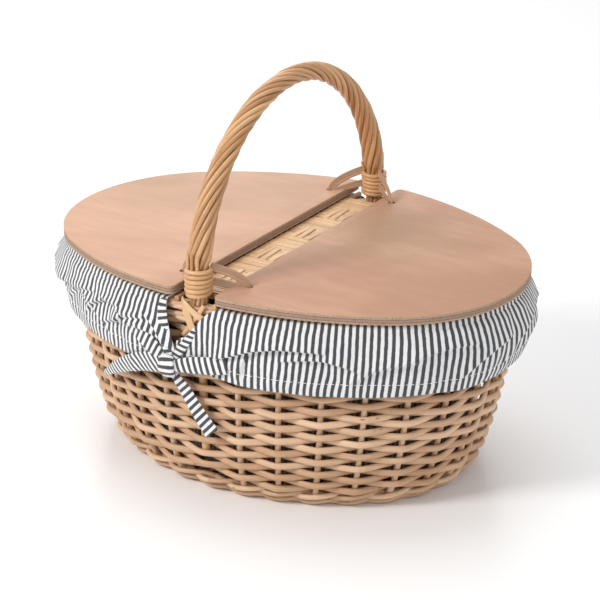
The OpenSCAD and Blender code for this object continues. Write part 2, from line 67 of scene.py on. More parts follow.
def studio():
    eye = bpy.data.cameras.new("eye")
    camera = bpy.data.objects.new("camera", eye)
    bpy.context.collection.objects.link(camera)
    eye.sensor_width = 36
    eye.lens = 123.9
    turn, tilt, reach = math.radians(32.03), math.radians(22.89), 2.0127
    target = Vector((0.0066, 0.0041, 0.1445))
    back = Vector((math.sin(turn) * math.cos(tilt), -math.cos(turn) * math.cos(tilt), math.sin(tilt)))
    aim(camera, target + back * reach, target)
    bpy.context.scene.camera = camera

    ground = bpy.data.meshes.new("floor")
    ground.from_pydata([(-6, -6, 0), (6, -6, 0), (6, 6, 0), (-6, 6, 0)], [], [(0, 1, 2, 3)])
    floor = bpy.data.objects.new("floor", ground)
    bpy.context.collection.objects.link(floor)
    paper = bpy.data.materials.new("studio_paper")
    paper.use_nodes = True
    shader = paper.node_tree.nodes["Principled BSDF"]
    shader.inputs["Base Color"].default_value = (0.97, 0.97, 0.975, 1)
    shader.inputs["Roughness"].default_value = 0.32
    shader.inputs["Specular IOR Level"].default_value = 0.25
    ground.materials.append(paper)

    world = bpy.data.worlds.new("studio")
    bpy.context.scene.world = world
    world.use_nodes = True
    world.node_tree.nodes["Background"].inputs[0].default_value = (1, 1, 1, 1)
    world.node_tree.nodes["Background"].inputs[1].default_value = 0.60
    bpy.context.scene.view_settings.view_transform = "Standard"
    for name, place, size, watts, tint in (
        ("key", (-0.9, -1.8, 1.7), 0.6, 34, (1, 0.985, 0.965)),
        ("fill", (2.3, -0.7, 1.1), 1.4, 7, (1, 0.99, 0.985)),
        ("top", (-0.4, 0.5, 2.4), 1.6, 15, (1, 1, 1)),
        ("back", (-1.3, 1.9, 1.3), 1.2, 10, (0.97, 0.985, 1)),
    ):
        glow = bpy.data.lights.new(name, "AREA")
        glow.size, glow.energy, glow.color = size, watts, tint
        lamp = bpy.data.objects.new(name, glow)
        bpy.context.collection.objects.link(lamp)
        aim(lamp, place, (0, 0, 0.12))


studio()

# ---------------------------------------------------------------- sizes

RIM_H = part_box("border")[1].z
LID_HALF_X, LID_HALF_Y = 0.240, 0.170
RIM_A, RIM_B = LID_HALF_X - 0.015, LID_HALF_Y - 0.013
FLARE_X, FLARE_Y, BULGE = 0.038, 0.014, 0.007
CORNER_H, CORNER_IN, END_SHARE = 0.040, 0.018, 0.82
STAKE_R, WEAVER_R = 0.0028, 0.0031
BAYS_RIGHT, BAYS_LEFT = 15, 14
UPRIGHTS = BAYS_RIGHT + BAYS_LEFT
ROW_PITCH = 0.0068
BORDER_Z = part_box("border")[0].z
FOOT_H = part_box("foot_hoop")[1].z
HINGE_X = 0.0222
LID_Z = next(joint["pos_m"][2] for joint in frame["joints"] if joint["name"] == "lid_right_hinge")
LID_T = 0.008
LID_SLOPE = math.atan2(LID_Z - RIM_H - 0.0022, RIM_A - HINGE_X)
STRIPE = 0.0062


# ---------------------------------------------------------------- the basket's wall


def swell(z):
    return BULGE * 4 * z / RIM_H * (1 - z / RIM_H)


def corner(z):
    lift = np.clip(1 - np.asarray(z, float) / CORNER_H, 0, 1)
    return CORNER_IN * (1 - np.sqrt(1 - lift**2))


def half_axes(z):
    z = np.asarray(z, float)
    turn_in = swell(z) - corner(z)
    return RIM_A - FLARE_X + FLARE_X * z / RIM_H + turn_in, RIM_B - FLARE_Y + FLARE_Y * z / RIM_H + turn_in


def arcs(a, b):
    """Radii of the end and side arcs of a four-centred oval, and the angle at which they meet."""
    e = END_SHARE * b
    r = ((a - e) ** 2 + b * b - e * e) / (2 * (b - e))
    return e, r, np.arctan2(r - b, a - e)


def oval(a, b, t):
    """Point and outward normal on a four-centred oval, t in quarters counted from +X."""
    t = np.asarray(t, float)
    e, r, join = arcs(a, b)
    u = np.mod(t, 4)
    quarter = np.minimum(np.floor(u), 3)
    share = np.where(quarter % 2 == 0, u - quarter, 1 - u + quarter)
    run = share * (e * join + r * (math.pi / 2 - join))
    angle = np.where(run < e * join, run / e, join + (run - e * join) / r)
    near_end = angle < join
    x = np.where(near_end, a - e + e * np.cos(angle), r * np.cos(angle))
    y = np.where(near_end, e * np.sin(angle), b - r + r * np.sin(angle))
    flip_x = np.where((quarter == 1) | (quarter == 2), -1, 1)
    flip_y = np.where(quarter >= 2, -1, 1)
    return x * flip_x, y * flip_y, np.cos(angle) * flip_x, np.sin(angle) * flip_y


def wall(t, z, off):
    """Points on the wall at quarters t and heights z, off outwards from its middle, with their outward normals."""
    t, z, off = np.broadcast_arrays(np.asarray(t, float), np.asarray(z, float), np.asarray(off, float))
    a, b = half_axes(z)
    x, y, nx, ny = oval(a, b, t)
    return np.stack([x + off * nx, y + off * ny, z], -1), np.stack([nx, ny, np.zeros_like(nx)], -1)


def station(k):
    """Quarter at which upright k stands: from the front leg, round the right end, the back leg and the left end."""
    lap, i = np.divmod(np.asarray(k, float), UPRIGHTS)
    return 4 * lap + np.where(i <= BAYS_RIGHT, -1 + 2 * i / BAYS_RIGHT, 1 + 2 * (i - BAYS_RIGHT) / BAYS_LEFT)


def is_leg(k):
    return (k % UPRIGHTS == 0) | (k % UPRIGHTS == BAYS_RIGHT)


def quarter_at(x, z):
    """Share of a quarter from a leg to the place on the wall straight ahead of x."""
    e, r, join = arcs(*half_axes(z))
    return np.arcsin(x / r) * r / (e * join + r * (math.pi / 2 - join))


LEG_Z = CORNER_H + 0.003
LEAN = math.atan2(half_axes(RIM_H)[1] - half_axes(LEG_Z)[1], RIM_H - LEG_Z)
LEG_TOP = RIM_H + 0.0093
ARCH_R = (RIM_B * math.cos(LEAN) + 0.0093 * math.sin(LEAN)) / math.cos(LEAN) ** 2
ARCH_Z = LEG_TOP + ARCH_R * math.sin(LEAN)


def leg_y(z):
    return RIM_B + (z - RIM_H) * math.tan(LEAN)


def smooth_noise(x, seed, size=1.0):
    """Smooth random values near -1 to 1 along x, the same on each run."""
    x = np.asarray(x, float) / size
    base = np.floor(x)
    f = x - base
    f = f * f * (3 - 2 * f)

    def value(n):
        s = np.sin(n * 127.1 + seed * 311.7 + 13.3) * 43758.5453
        return 2 * (s - np.floor(s)) - 1

    return value(base) * (1 - f) + value(base + 1) * f


def rise(x):
    x = np.clip(x, 0, 1)
    return x * x * (3 - 2 * x)


def dice(seed):
    return np.random.default_rng(seed)


# ---------------------------------------------------------------- shader groups


def new_group(name, inputs, outputs):
    tree = bpy.data.node_groups.new(name, "ShaderNodeTree")
    for label, kind, value in inputs:
        plug = tree.interface.new_socket(label, in_out="INPUT", socket_type="NodeSocket" + kind)
        if value is not None:
            plug.default_value = value
    for label, kind in outputs:
        tree.interface.new_socket(label, in_out="OUTPUT", socket_type="NodeSocket" + kind)
    return tree, tree.nodes.new("NodeGroupInput").outputs, tree.nodes.new("NodeGroupOutput").inputs


class Nodes:
    """Short ways to add nodes to a tree."""

    def __init__(self, tree):
        self.tree = tree

    def add(self, kind, inputs=(), **settings):
        node = self.tree.nodes.new(kind)
        for key, value in settings.items():
            setattr(node, key, value)
        for key, value in dict(inputs).items():
            if isinstance(value, bpy.types.NodeSocket):
                self.tree.links.new(value, node.inputs[key])
            else:
                node.inputs[key].default_value = value
        return node

    def math(self, operation, a, b=None, c=None, clamp=False):
        plugs = {i: v for i, v in enumerate((a, b, c)) if v is not None}
        return self.add("ShaderNodeMath", plugs, operation=operation, use_clamp=clamp).outputs[0]

    def vector(self, operation, a, b, result="Vector"):
        return self.add("ShaderNodeVectorMath", {0: a, 1: b}, operation=operation).outputs[result]

    def mix(self, share, a, b, blend="MIX"):
        node = self.add("ShaderNodeMix", data_type="RGBA", blend_type=blend)
        for plug, value in ((node.inputs[0], share), (node.inputs[6], a), (node.inputs[7], b)):
            if isinstance(value, bpy.types.NodeSocket):
                self.tree.links.new(value, plug)
            else:
                plug.default_value = value
        return node.outputs[2]

    def band(self, value, low, high, out_low=0.0, out_high=1.0):
        return self.add("ShaderNodeMapRange", {0: value, 1: low, 2: high, 3: out_low, 4: out_high}).outputs[0]

    def noise(self, place, scale, detail=2.0, rough=0.5, stretch=None):
        if stretch:
            place = self.vector("MULTIPLY", place, stretch)
        plugs = {"Vector": place, "Scale": scale, "Detail": detail, "Roughness": rough}
        return self.add("ShaderNodeTexNoise", plugs).outputs[0]


def peeled_rod_group():
    """Peeled willow: long grain, blotches, dark specks and shading in the grooves."""
    tree, plug, out = new_group(
        "peeled_rod",
        [("Grain", "Vector", None), ("Tint", "Float", 0.5), ("Light", "Color", (0.8, 0.56, 0.33, 1)),
         ("Dark", "Color", (0.45, 0.24, 0.1, 1)), ("Speck", "Float", 0.5), ("Streak", "Float", 0.5)],
        [("Color", "Color"), ("Roughness", "Float"), ("Height", "Float")],
    )
    n = Nodes(tree)
    grain = plug["Grain"]
    fine = n.noise(grain, 1.0, 3, 0.6, (55, 900, 900))
    broad = n.noise(grain, 1.0, 2, 0.55, (16, 160, 160))
    patch = n.noise(grain, 1.0, 3, 0.6, (42, 110, 110))
    share = n.math("MULTIPLY_ADD", fine, plug["Streak"], n.math("MULTIPLY", broad, 0.62))
    share = n.math("ADD", share, n.math("MULTIPLY_ADD", plug["Tint"], 0.55, -0.50), clamp=True)
    color = n.mix(share, plug["Light"], plug["Dark"])
    rosy = n.band(patch, 0.52, 0.78, 0, 0.35)
    color = n.mix(rosy, color, (0.62, 0.33, 0.16, 1))
    cells = n.vector("MULTIPLY", grain, (60, 190, 190))
    speck = n.add("ShaderNodeTexVoronoi", {"Vector": cells, "Scale": 1.0}).outputs["Distance"]
    rare = n.band(n.noise(grain, 1.0, 1, 0.5, (24, 60, 60)), 0.56, 0.64)
    dot = n.math("MULTIPLY", n.band(speck, 0.16, 0.07), n.math("MULTIPLY", rare, plug["Speck"]))
    color = n.mix(dot, color, (0.16, 0.07, 0.03, 1))
    tree.links.new(color, out["Color"])
    tree.links.new(n.math("MULTIPLY_ADD", fine, 0.22, 0.36), out["Roughness"])
    tree.links.new(n.math("SUBTRACT", n.math("ADD", fine, n.math("MULTIPLY", patch, 0.8)), dot), out["Height"])
    return tree


def striped_yarn_group():
    """Woven stripes across the cloth's width, with the yarns' own slight wander."""
    tree, plug, out = new_group(
        "striped_yarn",
        [("Place", "Vector", None), ("Pitch", "Float", 0.0062)],
        [("Color", "Color"), ("Height", "Float"), ("Dark", "Float")],
    )
    n = Nodes(tree)
    part = n.add("ShaderNodeSeparateXYZ", {0: plug["Place"]})
    across, along = part.outputs[0], part.outputs[1]
    wander = n.noise(plug["Place"], 1.0, 2, 0.6, (420, 160, 1))
    moved = n.math("ADD", across, n.math("MULTIPLY_ADD", wander, 0.0009, -0.00045))
    beat = n.math("PINGPONG", n.math("DIVIDE", moved, plug["Pitch"]), 0.5)
    stripe = n.band(beat, 0.225, 0.275)
    yarn = n.math("SINE", n.math("MULTIPLY", across, 9000))
    pick = n.math("SINE", n.math("MULTIPLY", along, 8200))
    weave = n.math("MULTIPLY", yarn, pick)
    fleck = n.noise(plug["Place"], 1.0, 3, 0.7, (2600, 2300, 1))
    dark = n.mix(n.band(fleck, 0.3, 0.75), (0.028, 0.031, 0.038, 1), (0.115, 0.118, 0.13, 1))
    white = n.mix(n.band(fleck, 0.25, 0.7), (0.70, 0.70, 0.71, 1), (0.90, 0.90, 0.90, 1))
    tree.links.new(n.mix(stripe, dark, white), out["Color"])
    tree.links.new(n.math("MULTIPLY_ADD", weave, 0.4, fleck), out["Height"])
    tree.links.new(stripe, out["Dark"])
    return tree


PEELED = peeled_rod_group()
STRIPED = striped_yarn_group()


def material(name, **finish):
    made = bpy.data.materials.new(name)
    made.use_nodes = True
    shader = made.node_tree.nodes["Principled BSDF"]
    for label, value in finish.items():
        shader.inputs[label.replace("_", " ")].default_value = value
    return made, Nodes(made.node_tree), shader


def relief(n, shader, height, strength, depth):
    bump = n.add("ShaderNodeBump", {"Height": height, "Strength": strength, "Distance": depth})
    n.tree.links.new(bump.outputs[0], shader.inputs["Normal"])


def rod_finish(name, light, dark, speck=0.5, streak=0.5, bump=0.35, coat=0.0):
    made, n, shader = material(name)
    shader.inputs["Coat Weight"].default_value = coat
    shader.inputs["Coat Roughness"].default_value = 0.28
    shader.inputs["Specular IOR Level"].default_value = 0.4
    grain = n.add("ShaderNodeAttribute", attribute_name="grain").outputs["Vector"]
    tint = n.add("ShaderNodeAttribute", attribute_name="tint").outputs["Fac"]
    look = n.add("ShaderNodeGroup", node_tree=PEELED)
    for label, value in (("Grain", grain), ("Tint", tint)):
        n.tree.links.new(value, look.inputs[label])
    for label, value in (("Light", light), ("Dark", dark), ("Speck", speck), ("Streak", streak)):
        look.inputs[label].default_value = value
    n.tree.links.new(look.outputs["Color"], shader.inputs["Base Color"])
    n.tree.links.new(look.outputs["Roughness"], shader.inputs["Roughness"])
    relief(n, shader, look.outputs["Height"], bump, 0.0006)
    return made


def cloth_finish(name, painted_shade_stripes=1.0):
    """Striped cotton. Below 1, the side facing out of the basket is painted dark brown as shade, the shade seen
    through the gaps of the weave, and shows only that share of its stripes.
    """
    made, n, shader = material(name, Roughness=0.86, Sheen_Weight=0.25, Sheen_Roughness=0.5)
    shader.inputs["Specular IOR Level"].default_value = 0.2
    place = n.add("ShaderNodeUVMap", uv_map="cloth").outputs[0]
    look = n.add("ShaderNodeGroup", node_tree=STRIPED)
    n.tree.links.new(place, look.inputs["Place"])
    look.inputs["Pitch"].default_value = STRIPE
    color = look.outputs["Color"]
    if painted_shade_stripes < 1:
        # painted shade: faces turned out of the basket are darkened towards dark brown, standing for the shade in the
        # weave's gaps
        spots = n.add("ShaderNodeTexCoord").outputs
        flat = n.vector("MULTIPLY", spots["Object"], (1, 1, 0))
        facing = n.vector("DOT_PRODUCT", flat, spots["Normal"], "Value")
        shaded = n.mix(1.0, color, (0.4, 0.33, 0.27, 1), "MULTIPLY")
        painted_gap_shade = n.mix(painted_shade_stripes, (0.085, 0.058, 0.040, 1), shaded)
        color = n.mix(n.band(facing, 0.0, 0.02), color, painted_gap_shade)
    n.tree.links.new(color, shader.inputs["Base Color"])
    relief(n, shader, look.outputs["Height"], 0.35, 0.0004)
    return made


WEAVER = rod_finish("peeled_willow", (0.80, 0.555, 0.37, 1), (0.38, 0.19, 0.085, 1), 0.9, 0.6)
STAKE = rod_finish("stake_willow", (0.74, 0.52, 0.35, 1), (0.44, 0.24, 0.13, 1), 0.4)
GOLDEN = rod_finish("varnished_willow", (0.80, 0.50, 0.25, 1), (0.36, 0.145, 0.045, 1), 0.35, 0.75, 0.35, 0.5)
CANE = rod_finish("split_cane", (0.80, 0.545, 0.31, 1), (0.48, 0.25, 0.11, 1), 0.25, 0.7, 0.4, 0.2)
STRAP = rod_finish("split_strap", (0.60, 0.40, 0.27, 1), (0.30, 0.165, 0.10, 1), 0.2, 0.7, 0.4)
CLOTH = cloth_finish("striped_cotton")
# painted shade: the liner's outward faces are painted dark brown as the shade seen through the weave's gaps, keeping
# 0.35 of their stripes
LINER = cloth_finish("striped_cotton_liner", 0.35)

# ---------------------------------------------------------------- rods that follow guides


def rods_tree():
    """Round or flattened rods along guide lines, whose points bring thickness, outward side and tint."""
    tree = bpy.data.node_groups.new("rods_along_guides", "GeometryNodeTree")
    face = tree.interface
    face.new_socket("Geometry", in_out="INPUT", socket_type="NodeSocketGeometry")
    for label, kind, value in (("Sides", "Int", 8), ("Flatness", "Float", 1.0), ("Wobble", "Float", 0.0),
                               ("Wobble length", "Float", 0.03), ("Seed", "Float", 0.0), ("Finish", "Material", None)):
        plug = face.new_socket(label, in_out="INPUT", socket_type="NodeSocket" + kind)
        if value is not None:
            plug.default_value = value
    face.new_socket("Geometry", in_out="OUTPUT", socket_type="NodeSocketGeometry")
    n = Nodes(tree)
    plug = tree.nodes.new("NodeGroupInput").outputs

    def named(label, kind):
        return n.add("GeometryNodeInputNamedAttribute", {"Name": label}, data_type=kind).outputs["Attribute"]

    def store(geometry, label, value, kind="FLOAT"):
        plugs = {"Geometry": geometry, "Name": label, "Value": value}
        return n.add("GeometryNodeStoreNamedAttribute", plugs, data_type=kind, domain="POINT").outputs[0]

    lines = n.add("GeometryNodeMeshToCurve", {0: plug["Geometry"]}).outputs[0]
    place = n.vector("ADD", n.add("GeometryNodeInputPosition").outputs[0], plug["Seed"])
    rough = n.add("ShaderNodeTexNoise", {
        "Vector": place, "Scale": n.math("DIVIDE", 1.0, plug["Wobble length"]), "Detail": 1.0}).outputs[0]
    swing = n.math("MULTIPLY_ADD", n.math("SUBTRACT", rough, 0.5), n.math("MULTIPLY", plug["Wobble"], 4), 1.0)
    lines = n.add("GeometryNodeSetCurveNormal", {"Curve": lines}, mode="FREE")
    tree.links.new(named("side", "FLOAT_VECTOR"), lines.inputs["Normal"])
    thick = n.math("MULTIPLY", named("thick", "FLOAT"), swing)
    lines = n.add("GeometryNodeSetCurveRadius", {"Curve": lines.outputs[0], "Radius": thick}).outputs[0]
    length = n.add("GeometryNodeSplineParameter").outputs["Length"]
    lines = store(lines, "along", length)
    ring = n.add("GeometryNodeCurvePrimitiveCircle", {"Resolution": plug["Sides"], "Radius": 1.0}).outputs[0]
    factor = n.add("GeometryNodeSplineParameter").outputs["Factor"]
    ring = store(ring, "round", factor)
    shape = n.add("ShaderNodeCombineXYZ", {0: plug["Flatness"], 1: 1.0, 2: 1.0}).outputs[0]
    ring = n.add("GeometryNodeTransform", {"Geometry": ring, "Scale": shape}).outputs[0]
    sweep = n.add("GeometryNodeCurveToMesh", {"Curve": lines, "Profile Curve": ring, "Fill Caps": True})
    if "Scale" in sweep.inputs:
        tree.links.new(n.add("GeometryNodeInputRadius").outputs[0], sweep.inputs["Scale"])
    body = n.add("GeometryNodeRealizeInstances", {0: sweep.outputs[0]}).outputs[0]
    turn = n.math("MULTIPLY", named("round", "FLOAT"), TAU)
    girth = named("thick", "FLOAT")
    grain = n.add("ShaderNodeCombineXYZ", {
        0: n.math("ADD", named("along", "FLOAT"), n.math("MULTIPLY", named("tint", "FLOAT"), 7.3)),
        1: n.math("MULTIPLY", n.math("COSINE", turn), girth),
        2: n.math("MULTIPLY_ADD", n.math("SINE", turn), girth, named("tint", "FLOAT"))}).outputs[0]
    body = store(body, "grain", grain, "FLOAT_VECTOR")
    body = n.add("GeometryNodeSetShadeSmooth", {"Geometry": body}).outputs[0]
    body = n.add("GeometryNodeSetMaterial", {"Geometry": body, "Material": plug["Finish"]}).outputs[0]
    out = tree.nodes.new("NodeGroupOutput")
    tree.links.new(body, out.inputs[0])
    return tree


RODS = rods_tree()
RODS_PLUG = {item.name: item.identifier for item in RODS.interface.items_tree if item.in_out == "INPUT"}


def guide(points, thick, side=None, tint=0.5):
    points = np.asarray(points, float)
    along = np.gradient(points, axis=0)
    along /= np.linalg.norm(along, axis=1)[:, None] + 1e-12
    side = np.broadcast_to((0.0, 0.0, 1.0) if side is None else side, points.shape).astype(float)
    side = side - (side * along).sum(1)[:, None] * along
    side /= np.linalg.norm(side, axis=1)[:, None] + 1e-12
    count = len(points)
    thick, tint = np.broadcast_to(thick, count), np.broadcast_to(tint, count)
    return {"points": points, "thick": thick, "side": side, "tint": tint}


def settle(piece):
    """Turn what the modifiers make into the piece's own plain mesh."""
    bpy.context.view_layer.update()
    plain = bpy.data.meshes.new_from_object(piece.evaluated_get(bpy.context.evaluated_depsgraph_get()))
    piece.modifiers.clear()
    piece.data = plain
    return plain


def new_piece(name, mesh):
    piece = bpy.data.objects.new(name, mesh)
    bpy.context.collection.objects.link(piece)
    return piece


def show(piece, body, nodes=()):
    if body:
        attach(piece, body)
    for node in nodes:
        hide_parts(node)
    return piece


def rods(name, guides, finish, nodes=(), body="root", sides=8, flat=1.0, wobble=0.0, seed=0.0):
    """One piece made of rods along guides."""
    points = np.concatenate([g["points"] for g in guides])
    counts = np.array([len(g["points"]) for g in guides])
    starts = np.concatenate([[0], np.cumsum(counts)[:-1]])
    edges = np.concatenate([
        np.stack([np.arange(s, s + c - 1), np.arange(s + 1, s + c)], 1) for s, c in zip(starts, counts)])
    mesh = bpy.data.meshes.new(name + "_guides")
    mesh.from_pydata(points.tolist(), edges.tolist(), [])
    layers = (("thick", "FLOAT", "value"), ("tint", "FLOAT", "value"), ("side", "FLOAT_VECTOR", "vector"))
    for label, kind, key in layers:
        values = np.concatenate([g[label] for g in guides])
        mesh.attributes.new(label, kind, "POINT").data.foreach_set(key, values.astype(np.float32).ravel())
    piece = new_piece(name, mesh)
    modifier = piece.modifiers.new("rods", "NODES")
    modifier.node_group = RODS
    for label, value in (("Sides", sides), ("Flatness", flat), ("Wobble", wobble), ("Seed", seed), ("Finish", finish)):
        modifier[RODS_PLUG[label]] = value
    settle(piece)
    piece.data.name = name
    bpy.data.meshes.remove(mesh)
    return show(piece, body, nodes)


# ---------------------------------------------------------------- woven wall

WEAVE_LOW = FOOT_H + 0.009 + 0.0008
WEAVE_HIGH = BORDER_Z - 0.009 - 0.0008
PASSES = UPRIGHTS * int((WEAVE_HIGH - WEAVE_LOW) / ROW_PITCH) + 4


def weaver_line(run):
    """The weaver at pass number run, which may fall between uprights."""
    k0 = np.floor(run)
    u = run - k0
    u = 0.9 * u + 0.1 * u * u * (3 - 2 * u)

    def reach(k):
        z = WEAVE_LOW + ROW_PITCH * k / UPRIGHTS
        leg = is_leg(k) & (z > LEG_Z - 0.006)
        lean = np.where(leg, leg_y(z) - half_axes(z)[1], 0)
        upright = np.where(leg, 0.004, STAKE_R)
        return np.where(k % 2 == 0, 1, -1) * (upright + 0.0034) + lean

    off = reach(k0) * (1 - u) + reach(k0 + 1) * u
    z = WEAVE_LOW + ROW_PITCH * run / UPRIGHTS + 0.0004 * smooth_noise(run, 3, 2.7)
    return wall(station(run), z, off)


def side_weave():
    rng = dice(7)
    guides, start = [], 1.0
    while start < PASSES:
        end = min(start + 2 * int(rng.integers(6, 10)), PASSES)
        run = np.arange(start - 0.3, end + 0.3001, 1 / 8)
        points, side = weaver_line(run)
        share = (run - run[0]) / (run[-1] - run[0])
        thick = WEAVER_R * (1.12 - 0.12 * share)
        guides.append(guide(points, thick, side, rng.random()))
        start = end
    rods("side_weave_rods", guides, WEAVER, ["side_weave"], sides=10, flat=0.68, wobble=0.04)


def stakes():
    rng = dice(11)
    guides = []
    for k in range(UPRIGHTS):
        if is_leg(k):
            continue
        z = np.linspace(FOOT_H - 0.002, BORDER_Z - 0.0003, 26)
        points, side = wall(station(k), z, 0.0)
        guides.append(guide(points, STAKE_R * (1.05 - 0.1 * np.linspace(0, 1, 26)), side, rng.random()))
    rods("stake_rods", guides, STAKE, ["stakes"], sides=10, wobble=0.05, seed=3.0)


def pairing(name, nodes, low, rows, radius, seed, over=1, behind=1, step=2.9):
    """Rows of two or three rods that cross between uprights, each outside some and inside the next."""
    rng = dice(seed)
    guides = []
    beat = over + behind
    for row in range(rows):
        for strand in range(beat):
            run = np.arange(0, UPRIGHTS + 0.001, 1 / 8)
            phase = np.mod(run - strand, beat) / beat
            swing = np.cos(TAU * phase)
            off = (STAKE_R + radius) * np.sign(swing) * np.abs(swing) ** 0.8 + 0.0003
            lift = row * step * radius + radius * 0.7 * np.sin(TAU * phase)
            points, side = wall(station(run), low + 1.7 * radius + lift, off)
            guides.append(guide(points, radius * (1 + 0.06 * smooth_noise(run, seed + row, 4)), side, rng.random()))
    return rods(name, guides, WEAVER, nodes, sides=8, wobble=0.04, seed=float(seed))


def rope_ring(name, nodes, base_z, mid_off, mid_z, wide, tall, strands, turns, radius, seed):
    """Rods twisted round each other along a ring that follows the wall."""
    rng = dice(seed)
    a, b = half_axes(base_z)
    t = np.linspace(0, 4, 361)
    guides = []
    for strand in range(strands):
        phase = TAU * (t / 4 * turns + strand / strands)
        x, y, nx, ny = oval(a, b, t)
        off = mid_off + wide * np.cos(phase)
        points = np.stack([x + off * nx, y + off * ny, mid_z + tall * np.sin(phase)], 1)
        guides.append(guide(points, radius, np.stack([nx, ny, 0 * nx], 1), rng.random()))
    return rods(name, guides, WEAVER, nodes, sides=9, wobble=0.03, seed=float(seed))


def woven_floor():
    rng = dice(31)
    a, b = half_axes(FOOT_H)
    inset = 0.012
    sticks, rows = [], []
    level = 0.0085
    pitch = 0.032
    for i in range(-2, 3):
        reach = a - END_SHARE * b + math.sqrt((END_SHARE * b - inset) ** 2 - (i * pitch) ** 2) - 0.002
        x = np.linspace(-reach, reach, 60)
        sticks.append(guide(np.stack([x, 0 * x + i * pitch, 0 * x + level], 1), 0.003, None, rng.random()))
    t = np.linspace(0, 2, 721)
    ox, oy, nx, ny = oval(a, b, t)
    ox, oy = ox - inset * nx, oy - inset * ny
    for j, x in enumerate(np.arange(-0.162, 0.1621, 0.0056)):
        half = float(np.interp(-x, -ox, oy))
        y = np.linspace(-half, half, max(9, 2 * int(half / 0.004)))
        z = level + (1 if j % 2 else -1) * 0.0043 * np.cos(math.pi * y / pitch)
        rows.append(guide(np.stack([0 * y + x, y, z], 1), 0.0026, (1, 0, 0), rng.random()))
    rods("base_stick_rods", sticks, STAKE, ["base_sticks"], sides=10, seed=5.0)
    rods("floor_weave_rods", rows, WEAVER, ["floor_weave"], sides=8, wobble=0.04, seed=6.0)


# ---------------------------------------------------------------- handle

NECK_R, ROOT_R, GRIP_R = 0.008, 0.01125, 0.00875
COLLAR_ROD_R, COLLAR_PITCH, COLLAR_TURNS, COLLAR_START = 0.00255, 0.00495, 6, 0.006
NECK_TOP = COLLAR_START + COLLAR_TURNS * COLLAR_PITCH
ROPE_LOW = RIM_H + 0.0003 + NECK_R * math.sin(LEAN)
ROPE_RISE = (LEG_TOP - ROPE_LOW) / math.cos(LEAN)
ROPE_LENGTH = ARCH_R * (math.pi + 2 * LEAN) + 2 * ROPE_RISE


def handle_line(run):
    """Middle of the handle at distance run from its front end, with its tangent."""
    run = np.asarray(run, float)
    back = run > ROPE_LENGTH / 2
    near = np.where(back, ROPE_LENGTH - run, run)
    angle = (near - ROPE_RISE) / ARCH_R - LEAN
    straight = near < ROPE_RISE
    y = np.where(straight, -ARCH_R * math.cos(LEAN) + (ROPE_RISE - near) * math.sin(LEAN), -ARCH_R * np.cos(angle))
    z = np.where(straight, LEG_TOP - (ROPE_RISE - near) * math.cos(LEAN), ARCH_Z + ARCH_R * np.sin(angle))
    lean = np.where(straight, -LEAN, angle)
    zero = 0 * y
    point = np.stack([zero, np.where(back, -y, y), z], -1)
    tangent = np.stack([zero, np.sin(lean), np.where(back, -np.cos(lean), np.cos(lean))], -1)
    return point, tangent


def around_handle(run, angle, radius):
    point, tangent = handle_line(run)
    across = np.broadcast_to((1.0, 0.0, 0.0), point.shape)
    up = np.cross(tangent, across)
    out = np.cos(angle)[:, None] * across + np.sin(angle)[:, None] * up
    return point + np.broadcast_to(radius, angle.shape)[:, None] * out, out


def rope_radius(run):
    near = np.minimum(run, ROPE_LENGTH - run)
    swell_share = np.clip((near - NECK_TOP) / 0.012, 0, 1)
    fall = np.clip((near - NECK_TOP - 0.012) / (ROPE_LENGTH / 2 - NECK_TOP - 0.012), 0, 1)
    return NECK_R + (ROOT_R - NECK_R) * np.sin(swell_share * math.pi / 2) - (ROOT_R - GRIP_R) * fall


def roped_handle():
    rng = dice(41)
    strands = 10
    guides = []
    run = np.linspace(0, ROPE_LENGTH, 300)
    twist = 26 * run + 20 * ROPE_LENGTH / math.pi * (1 - np.cos(math.pi * run / ROPE_LENGTH))
    for k in range(strands):
        outer = rope_radius(run)
        thick = outer * 0.236 * (1 + 0.05 * smooth_noise(run, k, 0.09))
        bump = 0.0004 * smooth_noise(run, k + 40, 0.12)
        points, side = around_handle(run, twist + TAU * (k + 0.12 * rng.random()) / strands, outer - thick + bump)
        guides.append(guide(points, thick * 0.99, side, rng.random()))
    rods("handle_strands", guides, GOLDEN, ["handle_roping"], sides=10, wobble=0.02, seed=8.0)


def collar(name, node, front):
    """One rod wound six times round the neck of the handle, its ends tucked in."""
    turns = np.linspace(0, COLLAR_TURNS, 260)
    run = COLLAR_START + COLLAR_ROD_R * 0.9 + turns * (COLLAR_PITCH * (COLLAR_TURNS - 0.9) / COLLAR_TURNS)
    loose = 0.0004 * smooth_noise(turns, 5 if front else 9, 0.7)
    loose = loose * np.clip(turns, 0, 1) * np.clip(COLLAR_TURNS - turns, 0, 1)
    tuck = np.clip(1 - turns / 0.35, 0, 1) + np.clip(1 - (COLLAR_TURNS - turns) / 0.35, 0, 1)
    radius = NECK_R + 0.0003 + COLLAR_ROD_R - tuck * 0.0022 + loose
    angle = TAU * turns + (2.2 if front else 5.0)
    if not front:
        run = ROPE_LENGTH - run
    points, side = around_handle(run, angle, radius)
    guides = [guide(points, COLLAR_ROD_R * (0.90 - 0.06 * turns / COLLAR_TURNS), side, 0.35)]
    rng = dice(43 if front else 44)
    for k in range(5):
        start = NECK_TOP - 0.003
        stub_run = np.linspace(start, start + 0.011 + 0.006 * rng.random(), 8)
        place = (2.6 + 0.62 * k) + 0.15 * rng.random()
        if not front:
            stub_run = ROPE_LENGTH - stub_run
        stub, out = around_handle(stub_run, np.full(8, place), np.linspace(0.0098, 0.0112, 8))
        guides.append(guide(stub, 0.0016, out, rng.random()))
    rods(name, guides, GOLDEN, [node], sides=12, wobble=0.03, seed=9.0 + front)


